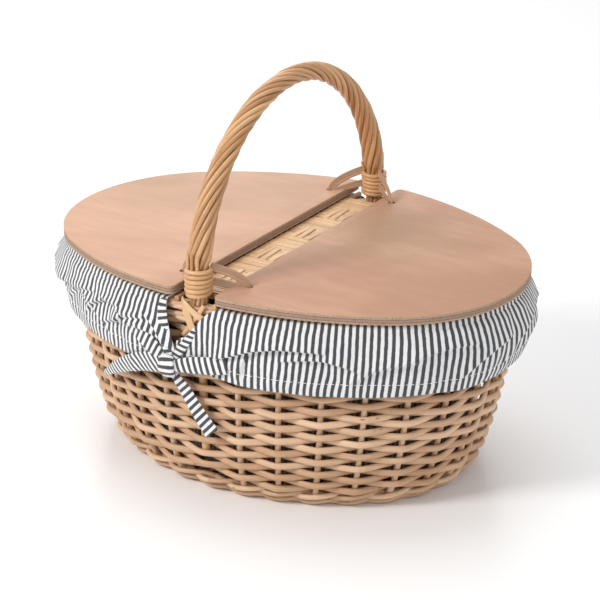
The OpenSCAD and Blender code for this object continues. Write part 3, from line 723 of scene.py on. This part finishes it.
def foot_binding(name, node, turn):
    """Flat cane bound crosswise over the border, outside a leg. Each strip: rows of x, z and off in mm, half width."""
    paths = (
        ([(-15, 200, 6), (-9.5, 199.2, 11.2), (-2, 195, 12.2), (6, 190.5, 11.8), (12.5, 187, 10.5)], 3.6),
        ([(-10, 198.5, 9), (-7.8, 192, 12.5), (-3, 182, 12.6), (2.2, 172, 12), (6, 164, 10)], 2.4),
        ([(-6, 198.5, 9), (-3.8, 192, 12.8), (0.8, 182, 12.9), (5.5, 173, 12.2), (8.8, 166, 10)], 2.4),
        ([(10, 200, 8), (7.5, 193, 11.6), (0, 183, 11.2), (-7, 173.5, 10.8), (-11.5, 167.5, 9.2)], 2.2),
    )
    guides = []
    for i, (path, half) in enumerate(paths):
        path = np.array(path, float) * MM
        fine = np.linspace(0, len(path) - 1, 21)
        x, z, off = (np.interp(fine, np.arange(len(path)), path[:, j]) for j in range(3))
        a, b = half_axes(np.minimum(z, RIM_H))
        r = arcs(a, b)[1]
        y = -(np.sqrt((r + off) ** 2 - x * x) - r + b)
        points = np.stack([x * turn, y * turn, z], 1)
        side = np.stack([x / r * turn, np.full_like(x, -turn), 0 * x], 1)
        guides.append(guide(points, half * MM, side, 0.2 + 0.15 * i))
    rods(name, guides, CANE, [node], sides=12, flat=0.26, seed=12.0)


# ---------------------------------------------------------------- bridge between the lids

ROD_Z = RIM_H + 0.0026
WRAP_HALF = 0.1419
WRAP_W = 0.0481


def bridge():
    rng = dice(51)
    poles = []
    for x in (-0.0205, -0.0068, 0.0068, 0.0205):
        half = RIM_B + 0.0067 if abs(x) > 0.01 else WRAP_HALF + 0.001
        y = np.linspace(-half, half, 50)
        poles.append(guide(np.stack([0 * y + x, y, 0 * y + ROD_Z], 1), 0.0023, None, rng.random()))
    rods("bridge_rod_set", poles, GOLDEN, ["bridge_rods"], sides=10, wobble=0.04, seed=13.0)

    wraps = []
    pitch = 0.0037
    half_w, half_h = WRAP_W / 2 - 0.0005, 0.0029
    angles = np.linspace(0, TAU, 41)
    loop_x = np.sign(np.cos(angles)) * np.minimum(np.abs(np.cos(angles)) ** 0.35, 1) * half_w
    loop_z = np.sign(np.sin(angles)) * np.minimum(np.abs(np.sin(angles)) ** 0.45, 1) * half_h
    for y in np.arange(-WRAP_HALF + 0.002, WRAP_HALF - 0.0019, pitch):
        skew = pitch * 0.5 * np.sin(angles) * 0.4
        drift = 0.00025 * rng.standard_normal()
        points = np.stack([loop_x, y + skew + drift, ROD_Z + loop_z + 0.00012 * rng.standard_normal()], 1)
        side = np.stack([np.cos(angles) * 0.4, 0 * angles, np.sin(angles)], 1)
        wraps.append(guide(points, 0.0019, side, rng.random()))
    rods("bridge_wraps", wraps, CANE, ["bridge_wrap"], sides=8, flat=0.27, seed=14.0)

    strips = []
    for centre in (-0.097, -0.034, 0.030, 0.093):
        for x, slant in ((-0.0088, 0.0010), (-0.0020, -0.001), (0.0085, 0.0012)):
            share = np.linspace(0, 1, 25)
            reach = 0.0165 + 0.002 * rng.random()
            y = centre + (2 * share - 1) * reach
            z = ROD_Z + 0.0029 + 0.0016 * np.clip(np.sin(math.pi * share) * 3, 0, 1) - 0.0008
            points = np.stack([x + slant * (2 * share - 1), y, z], 1)
            strips.append(guide(points, 0.0034, (0, 0, 1), rng.random()))
    rods("bridge_strips", strips, CANE, [], sides=10, flat=0.2, seed=15.0)


# ---------------------------------------------------------------- lids


def plywood():
    made, n, shader = material("plywood")
    shader.inputs["Specular IOR Level"].default_value = 0.22
    place = n.add("ShaderNodeTexCoord").outputs
    spot = place["Object"]
    part = n.add("ShaderNodeSeparateXYZ", {0: spot})
    x, z = part.outputs[0], part.outputs[2]
    far = n.math("SUBTRACT", n.math("ABSOLUTE", x), HINGE_X)
    fall = n.math("MULTIPLY", far, math.sin(LID_SLOPE))
    depth = n.math("MULTIPLY_ADD", n.math("SUBTRACT", z, LID_Z), math.cos(LID_SLOPE), fall)
    level = n.math("DIVIDE", depth, LID_T)
    cloud = n.noise(spot, 1.0, 3, 0.55, (7, 11, 1))
    figure = n.noise(spot, 1.0, 4, 0.6, (14, 70, 1))
    streak = n.noise(spot, 1.0, 3, 0.65, (22, 620, 1))
    pore = n.noise(spot, 1.0, 2, 0.6, (60, 1500, 1))
    face = n.mix(n.band(cloud, 0.36, 0.62), (0.600, 0.350, 0.235, 1), (0.470, 0.262, 0.170, 1))
    face = n.mix(n.band(figure, 0.42, 0.7, 0, 0.5), face, (0.42, 0.235, 0.145, 1))
    face = n.mix(n.band(streak, 0.5, 0.78, 0, 0.34), face, (0.40, 0.225, 0.135, 1))
    face = n.mix(n.band(pore, 0.62, 0.8, 0, 0.32), face, (0.29, 0.155, 0.10, 1))
    heart = n.vector("DISTANCE", spot, (0.075, 0.045, 0.21), "Value")
    face = n.mix(n.band(heart, 0.085, 0.01, 0, 0.42), face, (0.40, 0.26, 0.14, 1))
    # painted light: the face is lighter towards the left, over all of the left lid, where more light falls on it
    face = n.mix(n.band(x, -0.06, 0.06, 0.24, 0.0), face, (0.80, 0.55, 0.39, 1))
    ply = n.noise(spot, 1.0, 3, 0.6, (120, 120, 900))
    end_grain = n.noise(spot, 1.0, 2, 0.6, (700, 700, 260))
    edge = n.mix(ply, (0.56, 0.40, 0.29, 1), (0.36, 0.245, 0.175, 1))
    edge = n.mix(n.band(end_grain, 0.5, 0.72, 0, 0.6), edge, (0.22, 0.13, 0.085, 1))
    wander = n.math("MULTIPLY_ADD", n.noise(spot, 1.0, 2, 0.5, (40, 40, 40)), 0.10, -0.05)
    where = n.math("ADD", level, wander)
    for line in (0.30, 0.66):
        near = n.math("ABSOLUTE", n.math("SUBTRACT", where, line))
        edge = n.mix(n.band(near, 0.055, 0.02, 0, 0.85), edge, (0.13, 0.075, 0.05, 1))
    core = n.math("MULTIPLY", n.band(where, 0.32, 0.38), n.band(where, 0.64, 0.58))
    edge = n.mix(n.math("MULTIPLY", core, 0.55), edge, (0.30, 0.185, 0.125, 1))
    upright = n.add("ShaderNodeSeparateXYZ", {0: place["Normal"]}).outputs[2]
    flat = n.band(n.math("ABSOLUTE", upright), 0.72, 0.9)
    color = n.mix(flat, edge, face)
    n.tree.links.new(color, shader.inputs["Base Color"])
    rough = n.math("MULTIPLY_ADD", n.math("SUBTRACT", 1, flat), 0.22, n.math("MULTIPLY_ADD", streak, 0.2, 0.44))
    n.tree.links.new(rough, shader.inputs["Roughness"])
    rough_edge = n.math("MULTIPLY", end_grain, n.math("SUBTRACT", 1, flat))
    height = n.math("SUBTRACT", n.math("MULTIPLY", streak, 0.5), rough_edge)
    relief(n, shader, height, 0.25, 0.0004)
    return made


def board(name, node, body):
    """A lid's board: the frame's own board with its edges eased."""
    mesh = frame["nodes"][node].data.copy()
    mesh.materials.clear()
    mesh.materials.append(PLY)
    piece = new_piece(name, mesh)
    weld = piece.modifiers.new("weld", "WELD")
    weld.merge_threshold = 0.00002
    planar = piece.modifiers.new("planar", "DECIMATE")
    planar.decimate_type = "DISSOLVE"
    planar.angle_limit = math.radians(0.3)
    ease = piece.modifiers.new("ease", "BEVEL")
    ease.width, ease.segments, ease.limit_method, ease.angle_limit = 0.0007, 3, "ANGLE", math.radians(50)
    ease.harden_normals = False
    plain = settle(piece)
    plain.shade_smooth()
    plain.set_sharp_from_angle(angle=math.radians(35))
    return show(piece, body, [node])


def strap(name, node, side_x, side_y):
    """Three flat strands from a lid's hole up over to the handle, and a lower run under them."""
    hole = np.array((HINGE_X + 0.014, -0.130))
    foot = np.array((0.0, -leg_y(RIM_H)))
    toward = (foot - hole) / np.linalg.norm(foot - hole)
    across = np.array((-toward[1], toward[0], 0))
    top = LID_Z + LID_T - 0.018 * math.tan(LID_SLOPE)
    guides = []
    share = np.linspace(0, 1, 30)
    runs = ((RIM_H + NECK_TOP - 0.0005, 0.0105, 1.5, 0.62), (RIM_H + 0.021, 0.0125, 1.2, 0.75))
    for run_no, (high, reach_cut, flatten, climb) in enumerate(runs):
        reach = np.linalg.norm(foot - hole) - reach_cut
        out = reach * share**flatten + 0.0015 * run_no
        height = top - 0.006 + (high - top + 0.006) * share**climb
        for strand in (-1, 0, 1):
            points = np.zeros((30, 3))
            points[:, :2] = hole + out[:, None] * toward
            points[:, 2] = height
            normal = np.tile(across, (30, 1))
            width_way = np.cross(np.gradient(points, axis=0), across)
            width_way /= np.linalg.norm(width_way, axis=1)[:, None]
            spread = strand * (0.0026 - 0.0005 * run_no) * (0.55 + 0.45 * np.clip(share * 4, 0, 1))
            points += spread[:, None] * width_way
            points[:, 0] *= side_x
            points[:, 1] *= side_y
            normal[:, 0] *= side_x
            normal[:, 1] *= side_y
            guides.append(guide(points, 0.00155, normal, 0.3 + 0.2 * strand + 0.1 * run_no))
    piece = rods(name, guides, STRAP, [node], body=None, sides=10, flat=0.36, seed=17.0)
    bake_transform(piece)
    return piece


# ---------------------------------------------------------------- cloth liner


def sheet_of(name, grid, places, nodes, finish, thick=0.0007, loop=False):
    """A sheet of cloth through a grid of points, rows of equal length, with its places on the flat cloth."""
    rows, columns = grid.shape[:2]
    mesh = bpy.data.meshes.new(name)
    j, i = np.meshgrid(np.arange(rows - 1), np.arange(columns if loop else columns - 1), indexing="ij")
    k = (i + 1) % columns
    corners = [j * columns + i, j * columns + k, (j + 1) * columns + k, (j + 1) * columns + i]
    quads = np.stack(corners, -1).reshape(-1, 4)
    mesh.from_pydata(grid.reshape(-1, 3).tolist(), [], quads.tolist())
    layer = mesh.uv_layers.new(name="cloth")
    flat = places.reshape(-1, 2)[quads]
    if loop:
        closing = (k.reshape(-1, 1) == 0) & (quads % columns == 0)
        flat[..., 0] = np.where(closing, flat[:, :1, 0] + np.ptp(places[0, :2, 0]), flat[..., 0])
    layer.data.foreach_set("uv", flat.astype(np.float32).ravel())
    mesh.materials.append(finish)
    piece = new_piece(name, mesh)
    wall_of_cloth = piece.modifiers.new("cloth thickness", "SOLIDIFY")
    wall_of_cloth.thickness, wall_of_cloth.offset = thick, 0
    plain = settle(piece)
    plain.shade_smooth()
    return show(piece, "root", nodes)


def crease(s, h, ends, depth, width, shift=0.0008):
    """Bulge and sideways pull of the cloth at one crease between two places (s, h)."""
    s0, h0, s1, h1 = ends
    length = math.hypot(s1 - s0, h1 - h0)
    ds, dh = (s1 - s0) / length, (h1 - h0) / length
    share = ((s - s0) * ds + (h - h0) * dh) / length
    bow = 0.10 * length * np.sin(math.pi * np.clip(share, 0, 1))
    gap = (h - h0) * ds - (s - s0) * dh - bow
    strong = np.sqrt(np.clip(np.sin(math.pi * np.clip(share, 0, 1)), 0, 1))
    above = np.exp(-np.maximum(gap, 0) / width)
    below = np.exp(-np.maximum(-gap, 0) / (0.55 * width))
    step = 0.5 + 0.5 * np.tanh(gap / 0.0012)
    bulge = strong * depth * (step * above - (1 - step) * 0.62 * below)
    pull = strong * shift * (step * above - (1 - step) * below)
    return bulge, pull


SKIRT_HEM = RIM_H - 0.067
SKIRT_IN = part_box("skirt_right")[1].x - RIM_A - 0.0028
SLIT_Z = (0.128, 0.140, 0.150, 0.160, 0.175, 0.188, 0.1955, 0.2005)
FRONT_SLIT = (-0.013, -0.0150, -0.0150, -0.0100, 0.0010, 0.0095, 0.0165, 0.0265)
BACK_SLIT = (0.0190, 0.0180, 0.0150, 0.0175, 0.0225, 0.0268, 0.0285, 0.0290)


def skirt(name, node, turn, seed):
    """Half of the liner's skirt, from inside the border, over it and down to its hem."""
    bag_off = -0.0140
    hangs = SKIRT_IN + 0.0012
    line = np.array([
        (bag_off, BORDER_Z - 0.004), (bag_off, RIM_H - 0.004), (bag_off + 0.001, RIM_H + 0.0005),
        (bag_off + 0.005, RIM_H + 0.0013), (0.0, RIM_H + 0.0014), (0.008, RIM_H + 0.0013),
        (SKIRT_IN - 0.0005, RIM_H + 0.0002), (SKIRT_IN + 0.0009, RIM_H - 0.0035),
        (hangs, RIM_H - 0.012), (hangs, (RIM_H + SKIRT_HEM) / 2), (hangs, SKIRT_HEM)])
    lengths = np.concatenate([[0], np.cumsum(np.linalg.norm(np.diff(line, axis=0), axis=1))])
    total = lengths[-1]
    v = np.concatenate([np.linspace(0, lengths[7], 20, endpoint=False), np.linspace(lengths[7], total, 46)])
    off0, z0 = np.interp(v, lengths, line[:, 0]), np.interp(v, lengths, line[:, 1])
    columns = 330
    share = np.linspace(0, 1, columns)
    # closer columns where the creases are sharpest, by the slits
    share = share - 0.035 * np.sin(TAU * share)
    z_edge = np.minimum(z0, RIM_H)
    open_front = np.interp(np.where(v < lengths[3], 0.2005, z0), SLIT_Z, FRONT_SLIT)
    open_back = np.interp(np.where(v < lengths[3], 0.2005, z0), SLIT_Z, BACK_SLIT)
    t0 = -1 + quarter_at(open_front, z_edge)
    t1 = 1 - quarter_at(open_back, z_edge)
    t = t0[:, None] + (t1 - t0)[:, None] * share[None]
    girth = 0.622
    s = (t + 1) / 2 * girth
    h = (z0 - SKIRT_HEM)[:, None] + 0 * t
    outside = rise((v - lengths[6]) / 0.012)[:, None]
    free = rise(h / 0.010 + 0.15) * outside

    wave = smooth_noise(s, seed, 0.034) + 0.5 * smooth_noise(s, seed + 1, 0.015)
    lean_s = s + 0.35 * (h - 0.03)
    bulge = 0.0016 * np.sin(math.pi * np.clip(h / 0.066, 0, 1)) * (1 + 0.5 * smooth_noise(s, seed + 2, 0.06))
    bulge = bulge + 0.0011 * smooth_noise(lean_s, seed + 3, 0.021) * (0.4 + 0.6 * np.clip(1 - h / 0.066, 0, 1))
    bulge = bulge + 0.0006 * smooth_noise(s - 0.5 * h, seed + 4, 0.009)
    pull = 0.0034 * smooth_noise(h, seed + 5, 0.026) * smooth_noise(s, seed + 6, 0.06)
    pull = pull + 0.0005 * smooth_noise(h + s, seed + 7, 0.014)
    # the gathered cloth stands off the wall round each end
    round_end = rise((np.sin(math.pi * s / girth) - 0.70) / 0.30) * rise((RIM_H - z0)[:, None] / 0.030)
    slack = 0.0016 + 0.0085 * round_end * (1 - 0.45 * rise((RIM_H - z0)[:, None] / 0.067 - 0.3))

    rng = dice(seed)
    # creases: the two ends of a line on the cloth (s, h), how far it bulges, how wide it is
    folds = [
        (0.018, 0.016, 0.132, 0.042, 0.0034, 0.015), (0.052, 0.004, 0.060, 0.036, 0.0016, 0.007),
        (0.085, 0.030, 0.165, 0.022, 0.0024, 0.010), (0.150, 0.012, 0.215, 0.034, 0.0022, 0.009),
        (0.190, 0.030, 0.262, 0.044, 0.0018, 0.010), (0.240, 0.006, 0.300, 0.040, 0.0024, 0.009)]
    place = 0.29
    while place < girth - 0.09:
        run = 0.045 + 0.045 * rng.random()
        low, high = 0.006 + 0.02 * rng.random(), 0.030 + 0.018 * rng.random()
        if rng.random() < 0.4:
            low, high = high, low
        folds.append((place, low, place + run, high, 0.0014 + 0.0013 * rng.random(), 0.007 + 0.005 * rng.random()))
        place += 0.018 + 0.022 * rng.random()
    folds += [
        (girth - 0.074, 0.034, girth - 0.012, 0.014, 0.0028, 0.011),
        (girth - 0.055, 0.050, girth - 0.022, 0.010, 0.0018, 0.008),
        (girth - 0.120, 0.018, girth - 0.050, 0.026, 0.0020, 0.009)]
    for *ends, depth, width in folds:
        more, drag = crease(s, h, ends, 2.0 * depth, width)
        bulge, pull = bulge + more, pull + drag

    hem_band = np.exp(-((h - 0.0122) / 0.0010) ** 2)
    bulge = bulge - 0.0004 * hem_band + 0.0003 * (h < 0.0122)
    off = off0[:, None] + free * bulge + outside * 0.0005 * wave
    floor_off = np.where(z0 > BORDER_Z - 0.004, SKIRT_IN - 0.0004, SKIRT_IN - 0.0016)[:, None]
    off = np.where(outside > 0.5, np.clip(off + slack * outside, floor_off, SKIRT_IN + 0.0078 + slack), off)
    # the slit's edges lift a little and the hem wanders
    hem_wave = 0.0016 * smooth_noise(s, seed + 8, 0.028) * np.clip(1 - h / 0.03, 0, 1) * outside
    tied = np.exp(-s / 0.02) + np.exp(-(girth - s) / 0.02)
    lift = 0.009 * tied * np.clip(1 - h / 0.05, 0, 1) * outside
    z = z0[:, None] + hem_wave + lift
    points, _ = wall(t, np.minimum(z, RIM_H), off)
    points[..., 2] = z
    points[..., :2] *= turn
    places = np.stack([s + pull * outside, np.broadcast_to(v[:, None], s.shape)], -1)
    piece = sheet_of(name, points, places, [node], CLOTH)

    # stitches along the hem
    row = int(np.argmin(np.abs(z0 - SKIRT_HEM - 0.0122)))
    line_at = points[row]
    out_at = np.gradient(line_at, axis=0)
    out_at = np.cross(out_at, (0, 0, 1.0))
    out_at /= np.linalg.norm(out_at, axis=1)[:, None]
    if float((out_at[columns // 2] * line_at[columns // 2]).sum()) < 0:
        out_at = -out_at
    walk = np.concatenate([[0], np.cumsum(np.linalg.norm(np.diff(line_at, axis=0), axis=1))])
    stitches = []
    for start in np.arange(0.004, walk[-1] - 0.004, 0.0042):
        at = np.linspace(start, start + 0.0029, 4)
        path = np.stack([np.interp(at, walk, line_at[:, axis]) for axis in range(3)], 1)
        out = np.stack([np.interp(at, walk, out_at[:, axis]) for axis in range(3)], 1)
        path += out * np.array([0.00025, 0.00062, 0.00062, 0.00025])[:, None]
        stitches.append(guide(path, 0.00028, out, rng.random()))
    seam = rods(name + "_hem_stitches", stitches, THREAD, [], sides=5, seed=float(seed))
    return piece


def bag():
    """The cloth bag that lines the inside, with its floor."""
    columns = 300
    t = np.linspace(0, 4, columns, endpoint=False)
    low = 0.0160
    wall_z = np.linspace(BORDER_Z - 0.003, low + 0.014, 44)
    rows, places = [], []
    b = half_axes(RIM_H)[1]
    girth = 1.24
    for z in wall_z:
        deep = (RIM_H - z) / RIM_H
        s = t / 4 * girth
        fold = 0.0022 * smooth_noise(t * 12, 61) + 0.0014 * smooth_noise(t * 31 + deep, 62)
        fold = fold + 0.0010 * smooth_noise(t * 9 + 5 * deep, 63)
        off = -0.0146 - 0.006 * np.clip(1 - z / CORNER_H, 0, 1) - np.clip(0.0016 + fold, 0, 0.008) * rise(deep * 6)
        points, _ = wall(t, z, off)
        rows.append(points)
        places.append(np.stack([s + 0.002 * smooth_noise(t * 17, 64) * deep, np.full_like(t, RIM_H - z)], 1))
    rim = rows[-1]
    centre_line = np.stack([rim[:, 0] * 0.45, 0 * t, 0 * t + low], 1)
    depth = places[-1][0, 1]
    for share in (0.04, 0.10, 0.2, 0.34, 0.5, 0.66, 0.82, 0.97):
        points = rim * (1 - share) + centre_line * share
        drop = rise(share / 0.1)
        ripple = 0.0006 * (1 + smooth_noise(t * 20 + share * 9, 65)) * (share > 0.05)
        points[:, 2] = rim[:, 2] * (1 - drop) + low * drop + ripple
        rows.append(points)
        places.append(np.stack([places[43][:, 0], np.full_like(t, depth + share * b)], 1))
    piece = sheet_of("liner_cloth", np.stack(rows)[::-1], np.stack(places)[::-1], ["liner_bag"], LINER, loop=True)


def band_of_cloth(points, out, half, thick, slant=0.0):
    """A folded strip of cloth along points: rows across it, and the places of its cloth. Its stripes run across."""
    points = np.asarray(points, float)
    along = np.gradient(points, axis=0)
    along /= np.linalg.norm(along, axis=1)[:, None]
    across = np.cross(out, along)
    across /= np.linalg.norm(across, axis=1)[:, None]
    up = np.cross(along, across)
    walk = np.concatenate([[0], np.cumsum(np.linalg.norm(np.diff(points, axis=0), axis=1))])
    angle = np.linspace(0, TAU, 25)[:-1]
    wide = np.sign(np.cos(angle)) * np.abs(np.cos(angle)) ** 0.6
    high = np.sin(angle)
    half, thick = np.asarray(half)[:, None], np.asarray(thick)[:, None]
    grid = points[:, None] + (half * wide)[..., None] * across[:, None] + (thick * high)[..., None] * up[:, None]
    spot = np.stack([walk[:, None] + slant * half * wide, half * (wide + 3 * (high < 0))], -1)
    return grid, spot


def closed_strip(name, parts, nodes):
    """Strips of cloth, closed at both ends, in one piece."""
    verts, faces, spots, base = [], [], [], 0
    for grid, spot in parts:
        rows, n = grid.shape[:2]
        verts.append(grid.reshape(-1, 3))
        flat_spot = spot.reshape(-1, 2)
        for j in range(rows - 1):
            for i in range(n):
                k = (i + 1) % n
                quad = [j * n + i, j * n + k, (j + 1) * n + k, (j + 1) * n + i]
                faces.append([base + q for q in quad])
                spots += [flat_spot[q] for q in quad]
        for row, order in ((0, range(n - 1, -1, -1)), (rows - 1, range(n))):
            faces.append([base + row * n + i for i in order])
            spots += [flat_spot[row * n + i] for i in order]
        base += rows * n
    mesh = bpy.data.meshes.new(name)
    mesh.from_pydata(np.concatenate(verts).tolist(), [], faces)
    layer = mesh.uv_layers.new(name="cloth")
    layer.data.foreach_set("uv", np.array(spots, np.float32).ravel())
    mesh.materials.append(CLOTH)
    mesh.shade_smooth()
    mesh.set_sharp_from_angle(angle=math.radians(65))
    piece = new_piece(name, mesh)
    show(piece, "root", nodes)
    return piece


def front_at(x, z, off):
    """Points on the front of the wall straight ahead of x, with their outward normals."""
    a, b = half_axes(z)
    r = arcs(a, b)[1]
    y = r - b - np.sqrt((r + off) ** 2 - x * x)
    out = np.stack([x / (r + off), -(r - b - y) / (r + off), 0 * x + 0.10], 1)
    return np.stack([x, y, z], 1), out / np.linalg.norm(out, axis=1)[:, None]


def strip_along(path, turn, slant=0.0, steps=64, ruffle=0.0006, seed=1):
    """A strip on the skirt along rows in mm: x, z, distance off the skirt's inside, half width, half thickness."""
    path = np.array(path, float) * MM
    path[:, 2] += SKIRT_IN
    fine = np.linspace(0, len(path) - 1, steps)
    smooth = []
    for column in path.T:
        slope = np.gradient(column)
        i = np.minimum(fine.astype(int), len(path) - 2)
        u = fine - i
        smooth.append((2 * u**3 - 3 * u**2 + 1) * column[i] + (u**3 - 2 * u**2 + u) * slope[i]
                      + (3 * u**2 - 2 * u**3) * column[i + 1] + (u**3 - u**2) * slope[i + 1])
    x, z, off, half, thick = smooth
    off = off + ruffle * smooth_noise(fine * 2.2, seed)
    points, out = front_at(x, z, off)
    points[:, :2] *= turn
    out[:, :2] *= turn
    return band_of_cloth(points, out, half, thick, slant)


def tie_set(where, turn):
    """The two ties of one slit, with their knot and the slit's turned edges."""
    near, far = ("left", "right") if turn > 0 else ("right", "left")
    left = strip_along([
        (-70, 166, 4.5, 8.5, 1), (-56, 158.5, 6, 8.8, 1.4), (-40, 149, 6.6, 8, 1.8),
        (-28, 141.5, 7.2, 5.8, 2.4), (-22, 138, 8, 4, 2.8),
    ], turn, 0.1, seed=71)
    lower = strip_along([
        (-21, 137, 7.5, 3.6, 2.6), (-16.5, 129, 6, 4.8, 1.8), (-10, 117.5, 3.5, 6.4, 1.2),
        (-1.5, 103.5, 2.2, 7.2, 0.9), (8.5, 88, 1.8, 7.8, 0.8), (17.5, 74.5, 1.6, 8.2, 0.8),
    ], turn, 0.25, seed=72)
    piece = closed_strip(f"tie_cloth_{where}_{near}", [left, lower], [f"tie_{where}_{near}"])
    right = strip_along([
        (38, 150, 4.8, 8.2, 1), (26, 148, 6.6, 8.4, 1.4), (8, 145, 7.6, 8, 1.8),
        (-8, 141.5, 8.2, 6.6, 2.4), (-20, 138.5, 9, 4.4, 3),
    ], turn, 0.15, seed=73)
    tail = strip_along([
        (-23, 138.5, 8.6, 4.6, 3), (-36, 137, 8.2, 8.8, 2.2), (-54, 132.5, 7.8, 9.2, 1.8),
        (-74, 124, 7.2, 8.2, 1.8), (-95, 112, 5.8, 6.4, 1.8), (-112, 100, 4.4, 4.4, 1.6),
        (-124, 91.5, 3.4, 2, 1),
    ], turn, 0.75, seed=74)
    piece = closed_strip(f"tie_cloth_{where}_{far}", [right, tail], [f"tie_{where}_{far}"])
    knot = strip_along([
        (-22.5, 147.8, 6.4, 6.2, 1.2), (-22.8, 146.2, 10.4, 7.8, 2),
        (-22.2, 142, 12.5, 8.8, 2.4), (-21.8, 137.5, 13, 9, 2.6),
        (-21.4, 133, 12.2, 8.6, 2.4), (-20.8, 129.2, 10, 7.4, 2),
        (-20.4, 128, 6.2, 5.6, 1.2),
    ], turn, 0.05, 40, 0.0, 75)
    piece = closed_strip(f"tie_cloth_{where}_knot", [knot], [f"tie_{where}_knot"])
    edge_left = strip_along([
        (-32, 199, 1.2, 3, 0.8), (-32.5, 190, 4, 5.2, 1), (-30, 176, 5, 6, 1.1),
        (-26.5, 160, 5.8, 5.8, 1.2), (-23, 146, 6.8, 4.6, 1.4),
    ], turn, 0.1, seed=76)
    edge_right = strip_along([
        (6, 180, 2, 1.8, 0.7), (-1, 169, 3.5, 3.6, 0.9), (-8.5, 158, 4.8, 4.4, 1),
        (-16.5, 148, 6.2, 4.2, 1.2),
    ], turn, 0.5, seed=77)
    piece = closed_strip(f"slit_edges_{where}", [edge_left, edge_right], [])


THREAD = rod_finish("white_thread", (0.92, 0.91, 0.89, 1), (0.80, 0.79, 0.76, 1), 0, 0.3)

side_weave()
stakes()
pairing("upsett_rods", ["upsett_wale"], 0.0002, 2, 0.0026, 21)
pairing("top_wale_rods", ["top_wale"], 0.1780, 1, 0.0026, 22, over=2, behind=1)
rope_ring("border_rods", ["border"], RIM_H, 0.0, (BORDER_Z + RIM_H) / 2, 0.0054, 0.0027, 7, 13, 0.0027, 23)
rope_ring("foot_hoop_rods", ["foot_hoop"], FOOT_H, -0.0065, 0.0052, 0.0036, 0.0024, 5, 17, 0.0026, 24)
woven_floor()
roped_handle()
collar("collar_rod_front", "handle_collar_front", True)
collar("collar_rod_back", "handle_collar_back", False)
foot_binding("foot_cane_front", "foot_binding_front", 1)
foot_binding("foot_cane_back", "foot_binding_back", -1)
bridge()
PLY = plywood()
board("lid_board_left", "lid_left", "lid_left")
board("lid_board_right", "lid_right", "lid_right")
for where, side_y in (("front", 1), ("back", -1)):
    for hand, side_x in (("left", -1), ("right", 1)):
        strap(f"strap_cane_{where}_{hand}", f"strap_{where}_{hand}", side_x, side_y)

bag()
skirt("skirt_cloth_right", "skirt_right", 1, 81)
skirt("skirt_cloth_left", "skirt_left", -1, 101)
tie_set("front", 1)
tie_set("back", -1)

BOW = frame["nodes"]["handle_bow"]
for node in frame["nodes"].values():
    node.data.materials.clear()
    node.data.materials.append(GOLDEN if node is BOW else CLOTH)
